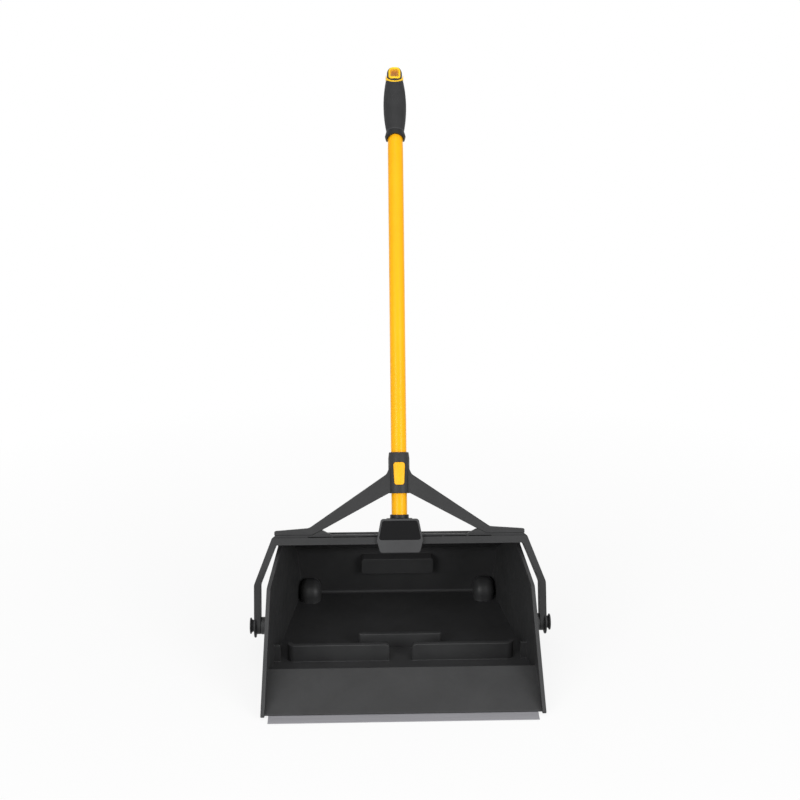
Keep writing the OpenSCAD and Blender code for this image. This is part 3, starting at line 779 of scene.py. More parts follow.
@dataclass(frozen=True)
class MouldedPlastic(Finish):
    """Injection-moulded plastic with a fine spark-eroded grain, flow marks and faint scuffs."""

    mottle: Cloud = Cloud(14.0, 5.0, 0.6)
    mottle_shades: Pair = (0.86, 1.14)
    scratch: Cloud = Cloud(1.0, 3.0, 0.7, (46.0, 700.0, 900.0), (0.0, 0.0, 0.5))
    scratch_ends: Pair = (0.66, 0.8)
    scratch_shade: float = 1.9
    scuff: float = 0.35
    haze: Cloud = Cloud(60.0, 4.0, 0.6)
    haze_spread: Pair = (-0.05, 0.06)
    grain: Cloud = Cloud(1900.0)
    grain_depth: float = 0.06 * MM
    grain_strength: float = 0.55
    flow: Cloud = Cloud(stretch=(18.0, 70.0, 70.0))
    flow_depth: float = 0.25 * MM
    flow_strength: float = 0.25
    ior: float = 1.49
    sheen: float = 0.24
    # Rounded edges are a little lighter, partly from rub wear and partly as a painted highlight
    edge_shade: float = 1.45
    edge_polish: float = 0.08

    def wire(self, shader: ShaderBench) -> None:
        """Wires mottled colour, scuffs, uneven gloss and grain.

        Args:
            shader: The bench to wire on.
        """
        colour = shader.shades(shader.noise(self.mottle), self.colour, self.mottle_shades)
        scuffs = shader.spread(shader.noise(self.scratch), (0.0, self.scuff), self.scratch_ends)
        grain = shader.bump(shader.noise(self.grain), self.grain_depth, self.grain_strength)
        shader.set(
            Base_Color=shader.blend(scuffs, colour, tint(self.colour, self.scratch_shade)),
            Roughness=shader.spread(shader.noise(self.haze), self.around(self.haze_spread)),
            Normal=shader.bump(shader.noise(self.flow), self.flow_depth, self.flow_strength, grain),
            IOR=self.ior,
            Specular_IOR_Level=self.sheen,
        )

    def edge(self) -> "MouldedPlastic":
        """The same plastic on a rounded edge: smoothed by handling, and a little lighter, partly from rub
        wear and partly as a painted highlight.
        """
        colour = tint(self.colour, self.edge_shade)
        return replace(self, name=f"{self.name}_edge", colour=colour, rough=self.rough - self.edge_polish)


@dataclass(frozen=True)
class PowderCoat(Finish):
    """Glossy powder coat on a metal tube, with a faint orange peel."""

    cloud: Cloud = Cloud(11.0, 4.0, 0.6)
    cloud_shades: Pair = (0.95, 1.04)
    speck_scale: float = 900.0
    speck_ends: Pair = (0.0, 0.12)
    speck_share: float = 0.25
    speck_shade: float = 0.88
    haze: Cloud = Cloud(40.0, 3.0)
    haze_spread: Pair = (-0.03, 0.05)
    peel: Cloud = Cloud(520.0)
    peel_depth: float = 0.025 * MM
    peel_strength: float = 0.25
    coat: float = 0.04
    coat_rough: float = 0.12
    sheen: float = 0.12

    def wire(self, shader: ShaderBench) -> None:
        """Wires the coat's colour, specks, peel and gloss.

        Args:
            shader: The bench to wire on.
        """
        colour = shader.shades(shader.noise(self.cloud), self.colour, self.cloud_shades)
        cells = shader.node("TexVoronoi", out="Distance", Vector=shader.place, Scale=self.speck_scale)
        specks = shader.spread(cells, (self.speck_share, 0.0), self.speck_ends)
        shader.set(
            Base_Color=shader.blend(specks, colour, tint(self.colour, self.speck_shade)),
            Roughness=shader.spread(shader.noise(self.haze), self.around(self.haze_spread)),
            Normal=shader.bump(shader.noise(self.peel), self.peel_depth, self.peel_strength),
            Coat_Weight=self.coat,
            Coat_Roughness=self.coat_rough,
            Specular_IOR_Level=self.sheen,
        )


@dataclass(frozen=True)
class SoftRubber(Finish):
    """Matt soft-touch rubber with a dusty bloom, and a painted highlight that makes its ridges lighter."""

    bloom: Cloud = Cloud(45.0, 5.0, 0.65)
    bloom_shades: Pair = (0.82, 1.25)
    bloom_ends: Pair = (0.3, 0.75)
    bloom_spread: Pair = (-0.07, 0.06)
    # Painted highlight on the ridges: its share, the pointiness range where it shows, and how much lighter
    # it is
    rubbed: float = 0.0
    rubbed_ends: Pair = (0.5, 0.6)
    rubbed_shade: float = 3.2
    pores: Cloud = Cloud(2600.0)
    pore_depth: float = 0.05 * MM
    pore_strength: float = 0.5
    sheen: float = 0.18

    def wire(self, shader: ShaderBench) -> None:
        """Wires the rubber's bloom, the painted highlight on its ridges, its pores and matt gloss.

        Args:
            shader: The bench to wire on.
        """
        bloom = shader.noise(self.bloom)
        colour = shader.shades(bloom, self.colour, self.bloom_shades, self.bloom_ends)
        # Painted highlight: the sharp ridges of the mesh are painted lighter, as if they caught the light
        ridges = shader.node("NewGeometry", out="Pointiness")
        painted_ridge_highlight = shader.spread(ridges, (0.0, self.rubbed), self.rubbed_ends)
        shader.set(
            Base_Color=shader.blend(painted_ridge_highlight, colour, tint(self.colour, self.rubbed_shade)),
            Roughness=shader.spread(bloom, self.around(self.bloom_spread)),
            Normal=shader.bump(shader.noise(self.pores), self.pore_depth, self.pore_strength),
            Specular_IOR_Level=self.sheen,
        )


@dataclass(frozen=True)
class LipVinyl(Finish):
    """Flexible grey vinyl, drawn lengthwise and scraped by floors."""

    draw: Cloud = Cloud(1.0, 3.0, 0.5, (9.0, 420.0, 420.0))
    draw_shades: Pair = (0.94, 1.06)
    draw_spread: Pair = (-0.06, 0.06)
    draw_depth: float = 0.08 * MM
    draw_strength: float = 0.4
    scrape: Cloud = Cloud(1.0, 2.0, 0.6, (620.0, 60.0, 60.0))
    scrape_ends: Pair = (0.64, 0.8)
    scrape_share: float = 0.3
    scrape_shade: float = 0.72

    def wire(self, shader: ShaderBench) -> None:
        """Wires the draw lines, the scrapes and the satin gloss.

        Args:
            shader: The bench to wire on.
        """
        draw = shader.noise(self.draw)
        colour = shader.shades(draw, self.colour, self.draw_shades)
        marks = shader.spread(shader.noise(self.scrape), (0.0, self.scrape_share), self.scrape_ends)
        shader.set(
            Base_Color=shader.blend(marks, colour, tint(self.colour, self.scrape_shade)),
            Roughness=shader.spread(draw, self.around(self.draw_spread)),
            Normal=shader.bump(draw, self.draw_depth, self.draw_strength),
        )


@dataclass(frozen=True)
class BrightSteel(Finish):
    """Zinc-plated steel with fine turning marks."""

    cloud: Cloud = Cloud(160.0, 4.0, 0.6)
    cloud_shades: Pair = (0.86, 1.08)
    cloud_spread: Pair = (-0.08, 0.1)
    marks: Cloud = Cloud(stretch=(2600.0, 300.0, 300.0))
    mark_depth: float = 0.02 * MM
    mark_strength: float = 0.4

    def wire(self, shader: ShaderBench) -> None:
        """Wires the plating's cloudiness and turning marks.

        Args:
            shader: The bench to wire on.
        """
        cloud = shader.noise(self.cloud)
        shader.set(
            Base_Color=shader.shades(cloud, self.colour, self.cloud_shades),
            Roughness=shader.spread(cloud, self.around(self.cloud_spread)),
            Normal=shader.bump(shader.noise(self.marks), self.mark_depth, self.mark_strength),
            Metallic=1.0,
        )


@dataclass(frozen=True)
class SatinPlate(Finish):
    """Smooth satin plate with a few fine hairlines."""

    cloud: Cloud = Cloud(30.0, 3.0)
    cloud_shades: Pair = (0.9, 1.12)
    hair: Cloud = Cloud(1.0, 2.0, 0.7, (90.0, 90.0, 2400.0), (0.0, 0.3, 0.0))
    hair_ends: Pair = (0.6, 0.8)
    hair_spread: Pair = (0.0, 0.16)
    sheen: float = 0.12

    def wire(self, shader: ShaderBench) -> None:
        """Wires the plate's even colour and its hairlines.

        Args:
            shader: The bench to wire on.
        """
        hair = shader.noise(self.hair)
        shader.set(
            Base_Color=shader.shades(shader.noise(self.cloud), self.colour, self.cloud_shades),
            Roughness=shader.spread(hair, self.around(self.hair_spread), self.hair_ends),
            Specular_IOR_Level=self.sheen,
        )


# The finishes, with a finer grain and fewer scuffs on the yellow mouldings
FINE = {"grain_depth": 0.03 * MM, "scuff": 0.1}
PAN_BLACK = MouldedPlastic("pan_black", (0.0340, 0.0343, 0.0350), 0.44)
YOKE_GREY = MouldedPlastic("yoke_grey", (0.0240, 0.0243, 0.0250), 0.50)
COVER_GREY = MouldedPlastic("cover_grey", (0.0430, 0.0435, 0.0448), 0.48)
RING_BLACK = MouldedPlastic("ring_black", (0.0070, 0.0072, 0.0078), 0.44)
PIN_BLACK = MouldedPlastic("pin_black", (0.0240, 0.0243, 0.0250), 0.42)
HUB_GREY = MouldedPlastic("hub_grey", (0.1050, 0.1060, 0.1100), 0.45)
BUSH_WHITE = MouldedPlastic("bush_white", (0.5600, 0.5600, 0.5400), 0.40, scuff=0.1)
CAP_BLACK = MouldedPlastic("cap_black", (0.0190, 0.0192, 0.0200), 0.42)
CORE_YELLOW = MouldedPlastic("core_yellow", (0.9300, 0.5400, 0.0200), 0.40, **FINE)
BUTTON_YELLOW = MouldedPlastic("button_yellow", (0.8400, 0.4200, 0.0060), 0.48, **FINE)
TUBE_YELLOW = PowderCoat("tube_yellow", (0.9000, 0.4150, 0.0050), 0.33)
# The sleeve's diamond ridges carry a painted highlight
GRIP_RUBBER = SoftRubber("sleeve_soft_touch", (0.0225, 0.0227, 0.0235), 0.62, rubbed=1.0)
TYRE_RUBBER = SoftRubber("tyre_black", (0.0120, 0.0120, 0.0124), 0.72)
LIP_GREY = LipVinyl("lip_grey", (0.2550, 0.2530, 0.2700), 0.56)
STEEL = BrightSteel("zinc_steel", (0.5800, 0.5850, 0.6000), 0.32)
RIVET_STEEL = BrightSteel("rivet_steel", (0.4600, 0.4650, 0.4800), 0.38)
PLATE_BLACK = SatinPlate("plate_black", (0.0030, 0.0030, 0.0034), 0.42)


class SubAssembly:
    """A group of pieces that are modelled and dressed together."""

    def __init__(self, stock: Stock) -> None:
        """Keeps the solids to work from and the list of pieces made."""
        self.stock = stock
        self.pieces: list[Piece] = []

    def place(self, obj: Piece, seat: Seat, *finishes: Finish) -> None:
        """Dresses a piece and seats it on its body in place of its solid.

        Args:
            obj: The piece, with its mesh in place.
            seat: Where it belongs.
            *finishes: Its finishes, in the order of its material slots.
        """
        obj.name = f"{seat.node}_made"
        obj.data.materials.clear()
        for finish in finishes:
            obj.data.materials.append(finish.material())
        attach(obj, seat.body.value)
        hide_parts(seat.node)
        self.pieces.append(obj)
        LOG.info("%s: %d faces on %s", obj.name, len(obj.data.polygons), seat.body.value)

    def finished(self, seat: Seat, edge: EdgeBreak, finish: Finish) -> None:
        """Places a piece that is its solid with its edges rounded."""
        # The edge finish makes the rounded edges lighter, partly as rub wear and partly as a painted
        # highlight
        self.place(self.stock.finished(seat.node, edge), seat, finish, finish.edge())

    def fasten(self, one: Piece, places: list[Matrix], seat: Seat, finish: Finish) -> None:
        """Sets copies of a fastener and seats them as one group.

        Args:
            one: The fastener, which is used up.
            places: The copies' places.
            seat: Where the group belongs.
            finish: Its finish.
        """
        copies = [Bench.twin(one, seat.node, place) for place in places]
        bpy.data.objects.remove(one)
        group = copies[0]
        Bench.take(group)
        for copy in copies:
            copy.select_set(True)
        bpy.ops.object.join()
        Bench.shade(group)
        self.place(group, seat, finish)

    def build(self) -> list[Piece]:
        """Makes the group's pieces."""
        raise NotImplementedError


@dataclass
class PanSizes:
    """Sizes of the pan's small pieces, in metres, and the shares that shape their heads."""

    edge: EdgeBreak = EdgeBreak(1.1 * MM, 3)
    lip_edge: EdgeBreak = EdgeBreak(0.35 * MM, 2)
    axle_edge: EdgeBreak = EdgeBreak(0.5 * MM, 2)
    lip_w: float = 409.0 * MM
    rivet_count: int = 6
    rivet_sides: int = 24
    rivet_y: float = 10.2 * MM
    rivet_z: float = 0.66 * MM
    rivet_l: float = 4.7 * MM
    rivet_r: float = 2.0 * MM
    rivet_head_r: float = 4.0 * MM
    rivet_head_h: float = 1.3 * MM
    rivet_break: float = 0.2 * MM
    rivet_rim_share: float = 0.8
    rivet_dimple: float = 0.35 * MM
    rivet_dimple_shares: Pair = (0.5, 0.8)
    pin_out: float = 235.5 * MM
    pin_in: float = 209.0 * MM
    pin_r: float = 6.0 * MM
    pin_tip: float = 0.6 * MM
    pin_neck_r: float = 9.25 * MM
    pin_head_r: float = 13.0 * MM
    pin_head_l: float = 7.0 * MM
    pin_head_t: float = 2.0 * MM
    pin_gap: float = 0.3 * MM
    pin_rim: float = 0.5 * MM
    pin_dish: float = 0.9 * MM
    pin_dish_shares: Pair = (0.72, 0.66)
    pin_flare_steps: int = 10
    pin_sides: int = 64


class Pan(SubAssembly):
    """The hooded tub with its lip, rivets, axles and pivot pins."""

    sizes = PanSizes()

    def build(self) -> list[Piece]:
        """Makes the tub and what is fixed to it.

        Returns:
            The pieces.
        """
        s = self.sizes
        self.finished(Seat(Body.PAN, "pan_shell", "pan_plastic"), s.edge, PAN_BLACK)
        self.finished(Seat(Body.PAN, "lip_strip", "lip_vinyl"), s.lip_edge, LIP_GREY)
        self.rivets()
        for side in Side:
            self.pin(side)
            self.finished(Seat(Body.PAN, f"wheel_axle_{side.word}", "pin_steel"), s.axle_edge, STEEL)
        return self.pieces

    def rivets(self) -> None:
        """Models one rivet with a dimpled head, and sets a copy in each hole of the lip."""
        s = self.sizes
        inner, outer = (s.rivet_r * share for share in s.rivet_dimple_shares)
        outline = [
            (0.0, 0.0),
            (0.0, inner),
            (-s.rivet_dimple, outer),
            (-s.rivet_dimple, s.rivet_head_r * s.rivet_rim_share),
            (s.rivet_break, s.rivet_head_r),
            (s.rivet_head_h, s.rivet_head_r),
            (s.rivet_head_h, s.rivet_r),
            (s.rivet_l, s.rivet_r),
            (s.rivet_l, 0.0),
        ]
        pitch = s.lip_w / s.rivet_count
        places = []
        for i in range(s.rivet_count):
            x = (i - (s.rivet_count - 1) / 2) * pitch
            places.append(Matrix.Translation((x, s.rivet_y, s.rivet_z)) @ rotation(-90.0, "Y"))
        one = Bench.turned("rivet", outline, s.rivet_sides)
        self.fasten(one, places, Seat(Body.PAN, "lip_rivets", "rivet_metal"), RIVET_STEEL)

    def pin(self, side: Side) -> None:
        """Turns a flared pivot pin with a dished head.

        Args:
            side: The side that it stands on.
        """
        s = self.sizes
        neck = s.pin_out + s.pin_gap
        face = s.pin_out + s.pin_head_l
        length = s.pin_head_l - s.pin_head_t - s.pin_gap
        flare = s.pin_head_r - s.pin_neck_r
        quarter = [math.pi / 2 * k / s.pin_flare_steps for k in range(s.pin_flare_steps + 1)]
        outer, inner = (s.pin_head_r * share for share in s.pin_dish_shares)
        outline = [
            (s.pin_in, 0.0),
            (s.pin_in, s.pin_r - s.pin_tip),
            (s.pin_in + s.pin_tip, s.pin_r),
            (neck, s.pin_r),
            *((neck + length * math.sin(t), s.pin_neck_r + flare * (1 - math.cos(t))) for t in quarter),
            (face - s.pin_rim, s.pin_head_r),
            (face, s.pin_head_r - s.pin_rim),
            (face, outer),
            (face - s.pin_dish, inner),
            (face - s.pin_dish, 0.0),
        ]
        outline = [(along * side.value, radius) for along, radius in outline]
        obj = Bench.turned(f"pin_{side.word}", outline, s.pin_sides)
        Bench.settle(obj, Matrix.Translation(PIVOT))
        Bench.shade(obj)
        self.place(obj, Seat(Body.PAN, f"pivot_pin_{side.word}", "pin_plastic"), PIN_BLACK)


@dataclass
class WheelSizes:
    """Sizes of a wheel, in metres and degrees."""

    track: float = 308.0 * MM
    axle_y: float = 370.0 * MM
    radius: float = 18.5 * MM
    tyre_w: float = 16.0 * MM
    tyre_sides: int = 72
    shoulder: float = 3.0 * MM
    shoulder_steps: int = 5
    groove: float = 0.7 * MM
    groove_w: float = 1.4 * MM
    groove_x: float = 2.6 * MM
    hub_r: float = 13.5 * MM
    hub_w: float = 29.4 * MM
    hub_sides: int = 60
    hub_fit: float = 0.02 * MM
    neck_r: float = 5.0 * MM
    neck_break: float = 0.4 * MM
    rim_t: float = 2.6 * MM
    rim_break: float = 0.3 * MM
    rim_draft: float = 0.1 * MM
    dish: float = 5.0 * MM
    bore_r: float = 2.55 * MM
    smooth: float = 32.0


class Wheels(SubAssembly):
    """The two small wheels in the wells of the pan."""

    sizes = WheelSizes()

    def build(self) -> list[Piece]:
        """Makes one tyre and one hub, and sets copies of them on both axles.

        Returns:
            The pieces.
        """
        s = self.sizes
        tyre = Bench.turned("tyre", self.tyre(), s.tyre_sides)
        hub = Bench.turned("hub", self.hub(), s.hub_sides)
        for one in (tyre, hub):
            Bench.shade(one, s.smooth)
        for side, body in zip(Side, (Body.WHEEL_LEFT, Body.WHEEL_RIGHT)):
            spot = Matrix.Translation((side.value * s.track / 2, s.axle_y, s.radius))
            seat = Seat(body, f"wheel_tyre_{side.word}", "tyre_rubber")
            self.place(Bench.twin(tyre, seat.node, spot), seat, TYRE_RUBBER)
            seat = Seat(body, f"wheel_hub_{side.word}", "hub_plastic")
            self.place(Bench.twin(hub, seat.node, spot), seat, HUB_GREY)
        for one in (tyre, hub):
            bpy.data.objects.remove(one)
        return self.pieces

    def tyre(self) -> list[Pair]:
        """Draws a tyre with rounded shoulders and two tread grooves.

        Returns:
            The outline round its axle.
        """
        s = self.sizes
        side = -s.tyre_w / 2
        low = s.radius - s.shoulder
        arc = [math.pi / 2 * k / s.shoulder_steps for k in range(s.shoulder_steps + 1)]
        return mirrored(
            [
                (side, s.hub_r),
                *((side + s.shoulder * (1 - math.cos(t)), low + s.shoulder * math.sin(t)) for t in arc),
                (-s.groove_x - s.groove_w / 2, s.radius),
                (-s.groove_x - s.groove_w / 4, s.radius - s.groove),
                (-s.groove_x + s.groove_w / 4, s.radius - s.groove),
                (-s.groove_x + s.groove_w / 2, s.radius),
            ]
        )

    def hub(self) -> list[Pair]:
        """Draws a hub with a dished face on both sides and a neck that spaces it in its well.

        Returns:
            The outline round its axle.
        """
        s = self.sizes
        side = -s.tyre_w / 2
        end = -s.hub_w / 2
        inner = s.hub_r - s.rim_t
        return mirrored(
            [
                (end, s.bore_r),
                (end, s.neck_r - s.neck_break),
                (end + s.neck_break, s.neck_r),
                (side + s.dish, s.neck_r),
                (side + s.dish, inner),
                (side + s.rim_break, inner + s.rim_draft),
                (side, inner + s.rim_draft + s.rim_break),
                (side, s.hub_r - s.rim_break),
                (side + s.rim_break, s.hub_r - s.hub_fit),
            ]
        )


@dataclass(frozen=True)
class ScrewSizes:
    """Sizes of a screw in metres, and the shares that shape its head, its tip and its cross recess."""

    head_r: float
    head_h: float
    shank_r: float
    length: float
    head_shares: tuple[Pair, ...] = ((0.0, 0.8), (0.12, 0.93), (0.35, 1.0))
    tip_share: float = 0.3
    cross_share: float = 0.62
    cross_w_share: float = 0.2
    cross_depth_share: float = 0.9
    sides: int = 32


@dataclass
class YokeSizes:
    """Sizes of the yoke's small pieces in its own frame, in metres, and the cosine of a front face."""

    edge: EdgeBreak = EdgeBreak(0.9 * MM, 3)
    cover_edge: EdgeBreak = EdgeBreak(1.3 * MM, 3)
    plate_edge: EdgeBreak = EdgeBreak(0.25 * MM, 2)
    ring_edge: EdgeBreak = EdgeBreak(0.7 * MM, 3)
    bush_edge: EdgeBreak = EdgeBreak(0.25 * MM, 2)
    plate_front_cosine: float = 0.99
    plate_margin: float = 1.7 * MM
    plate_sink: float = 0.3 * MM
    brace_screw_x: tuple[float, ...] = (-190.0 * MM, -166.0 * MM, 166.0 * MM, 190.0 * MM)
    brace_screw_z: float = 129.0 * MM
    brace_screw: ScrewSizes = ScrewSizes(4.0 * MM, 3.0 * MM, 2.0 * MM, 20.5 * MM)
    cover_screw_x: Pair = (-17.5 * MM, 17.5 * MM)
    cover_screw_y: float = 15.3 * MM
    cover_screw_z: Pair = (121.0 * MM, 166.0 * MM)
    cover_screw: ScrewSizes = ScrewSizes(2.5 * MM, 2.0 * MM, 1.3 * MM, 33.3 * MM)


class Yoke(SubAssembly):
    """The bail with its bushes, the brace, and the socket with its cover."""

    sizes = YokeSizes()

    def build(self) -> list[Piece]:
        """Makes the yoke's mouldings and fasteners.

        Returns:
            The pieces.
        """
        s = self.sizes
        for node in ("bail", "brace"):
            self.finished(Seat(Body.HANDLE, node, "yoke_plastic"), s.edge, YOKE_GREY)
        for side in Side:
            bush = Seat(Body.HANDLE, f"pivot_bush_{side.word}", "bush_plastic")
            self.finished(bush, s.bush_edge, BUSH_WHITE)
        self.finished(Seat(Body.HANDLE, "socket_ring", "ring_plastic"), s.ring_edge, RING_BLACK)
        self.finished(Seat(Body.HANDLE, "socket_cover", "cover_plastic"), s.cover_edge, COVER_GREY)
        self.plate()
        self.screws()
        return self.pieces

    def plate(self) -> None:
        """Makes the bare plate in the cover, with a raised border round a sunk field."""
        s = self.sizes
        obj = self.stock.copy("label_plate")
        front = YOKE_FRAME.to_3x3() @ Vector((0.0, -1.0, 0.0))
        with Bench.editing(obj):
            Bench.pick(obj, Element.FACE, lambda face: face.normal.dot(front) > s.plate_front_cosine)
            bpy.ops.mesh.inset(thickness=s.plate_margin)
            Bench.extrude(-front * s.plate_sink)
        Bench.modifier(
            obj,
            "BEVEL",
            width=s.plate_edge.width,
            segments=s.plate_edge.segments,
            limit_method="ANGLE",
            angle_limit=math.radians(s.plate_edge.angle),
        )
        Bench.shade(obj)
        self.place(obj, Seat(Body.HANDLE, "label_plate", "label_plastic"), PLATE_BLACK)

    @staticmethod
    def screw(s: ScrewSizes) -> Piece:
        """Models a screw with a rounded head and a cross recess.

        Args:
            s: The screw's sizes.

        Returns:
            The screw, with its head's face at the origin and its shank along +Z.
        """
        outline = [
            (0.0, 0.0),
            *((s.head_h * up, s.head_r * out) for up, out in s.head_shares),
            (s.head_h, s.head_r),
            (s.head_h, s.shank_r),
            (s.length - s.shank_r, s.shank_r),
            (s.length, s.shank_r * s.tip_share),
            (s.length, 0.0),
        ]
        obj = Bench.turned("screw", outline, s.sides)
        across = 2 * s.head_r
        for angle in (0.0, 90.0):
            bar = Bench.primitive("bar", bpy.ops.mesh.primitive_cube_add, size=1.0)
            bar.scale = (s.head_h * s.cross_depth_share, across * s.cross_share, across * s.cross_w_share)
            Bench.cut(obj, bar, rotation(angle, "X"))
        Bench.settle(obj, rotation(-90.0, "Y"))
        return obj

    def screws(self) -> None:
        """Sets the brace's screws under the crossbar and the cover's screws behind the socket."""
        s = self.sizes
        under = [Matrix.Translation((x, 0.0, s.brace_screw_z)) for x in s.brace_screw_x]
        behind = [
            Matrix.Translation((x, s.cover_screw_y, z)) @ rotation(90.0, "X")
            for x in s.cover_screw_x
            for z in s.cover_screw_z
        ]
        groups = (("brace_screws", s.brace_screw, under), ("cover_screws", s.cover_screw, behind))
        for node, size, spots in groups:
            places = [YOKE_FRAME @ spot for spot in spots]
            self.fasten(self.screw(size), places, Seat(Body.HANDLE, node, "pin_steel"), STEEL)


@dataclass
class TubeSizes:
    """Sizes of the tube in the yoke's frame, and of the button's and spring's edges, in metres."""

    radius: float = 12.7 * MM
    swage: float = 0.2 * MM
    lead: float = 1.0 * MM
    wall: float = 1.2 * MM
    low: float = 124.3 * MM
    top: float = 103.0 * MM
    stem_z: float = 242.8 * MM
    stem_hole_r: float = 4.3 * MM
    stem_hole_sides: int = 40
    sides: int = 96
    bend_steps: int = 16
    rings: int = 24
    button_edge: EdgeBreak = EdgeBreak(0.9 * MM, 4, inner=False)
    spring_edge: EdgeBreak = EdgeBreak(0.1 * MM, 1)


class Handle(SubAssembly):
    """The coated tube, and the push button with its spring."""

    sizes = TubeSizes()

    def build(self) -> list[Piece]:
        """Makes the tube, the button and the spring.

        Returns:
            The pieces.
        """
        s = self.sizes
        self.tube()
        self.finished(Seat(Body.BUTTON, "release_button", "button_plastic"), s.button_edge, BUTTON_YELLOW)
        self.finished(Seat(Body.HANDLE, "button_spring", "pin_steel"), s.spring_edge, STEEL)
        return self.pieces

    def tube(self) -> None:
        """Draws the tube up from its socket, round its bend and into the grip."""
        s = self.sizes
        ring = {"vertices": s.sides, "radius": s.radius, "location": (0, 0, s.low)}
        obj = Bench.primitive("tube_made", bpy.ops.mesh.primitive_circle_add, **ring)
        Bench.settle(obj, Matrix.Identity(4))
        up = Vector((0.0, math.sin(BEND), math.cos(BEND)))
        bend = (0.0, BEND_RADIUS, BEND_START)
        with Bench.editing(obj):
            bpy.ops.mesh.select_all(action="SELECT")
            for _ in range(s.rings):
                Bench.extrude(Vector((0.0, 0.0, (BEND_START - s.low) / s.rings)))
            bpy.ops.mesh.spin(steps=s.bend_steps, angle=BEND, center=bend, axis=(1.0, 0.0, 0.0))
            Bench.extrude(up * s.lead)
            bpy.ops.transform.resize(value=(1.0 - s.swage / s.radius,) * 3)
            Bench.extrude(up * (s.top - s.lead))
        Bench.tidy(obj)
        Bench.modifier(obj, "SOLIDIFY", thickness=s.wall, offset=-1.0)
        hole = {"vertices": s.stem_hole_sides, "radius": s.stem_hole_r, "depth": 2 * s.radius}
        drill = Bench.primitive("drill", bpy.ops.mesh.primitive_cylinder_add, **hole)
        Bench.cut(obj, drill, Matrix.Translation((0.0, -s.radius, s.stem_z)) @ rotation(90.0, "X"))
        Bench.settle(obj, YOKE_FRAME)
        Bench.shade(obj)
        self.place(obj, Seat(Body.HANDLE, "tube", "tube_enamel"), TUBE_YELLOW)


@dataclass
class GripSizes:
    """Sizes of the grip in its own frame, in metres, degrees and shares."""

    low: float = 19.0 * MM
    length: float = 89.0 * MM
    saddle: float = 98.7 * MM
    saddle_r: float = 16.7 * MM
    saddle_sides: int = 192
    radius: float = 19.0 * MM
    end_radius: float = 14.8 * MM
    bore: float = 12.6 * MM
    sides: int = 240
    rings: int = 150
    diamonds: int = 40
    diamond_h: float = 6.6 * MM
    relief: float = 0.4 * MM
    relief_low: float = 39.0 * MM
    relief_top: float = 75.0 * MM
    relief_fade: float = 5.0 * MM
    ridge_flat_share: float = 0.3
    ridge_slope_share: float = 0.2
    smooth: float = 50.0
    edge: EdgeBreak = EdgeBreak(0.6 * MM, 3)
    ring_edge: EdgeBreak = EdgeBreak(0.3 * MM, 2)


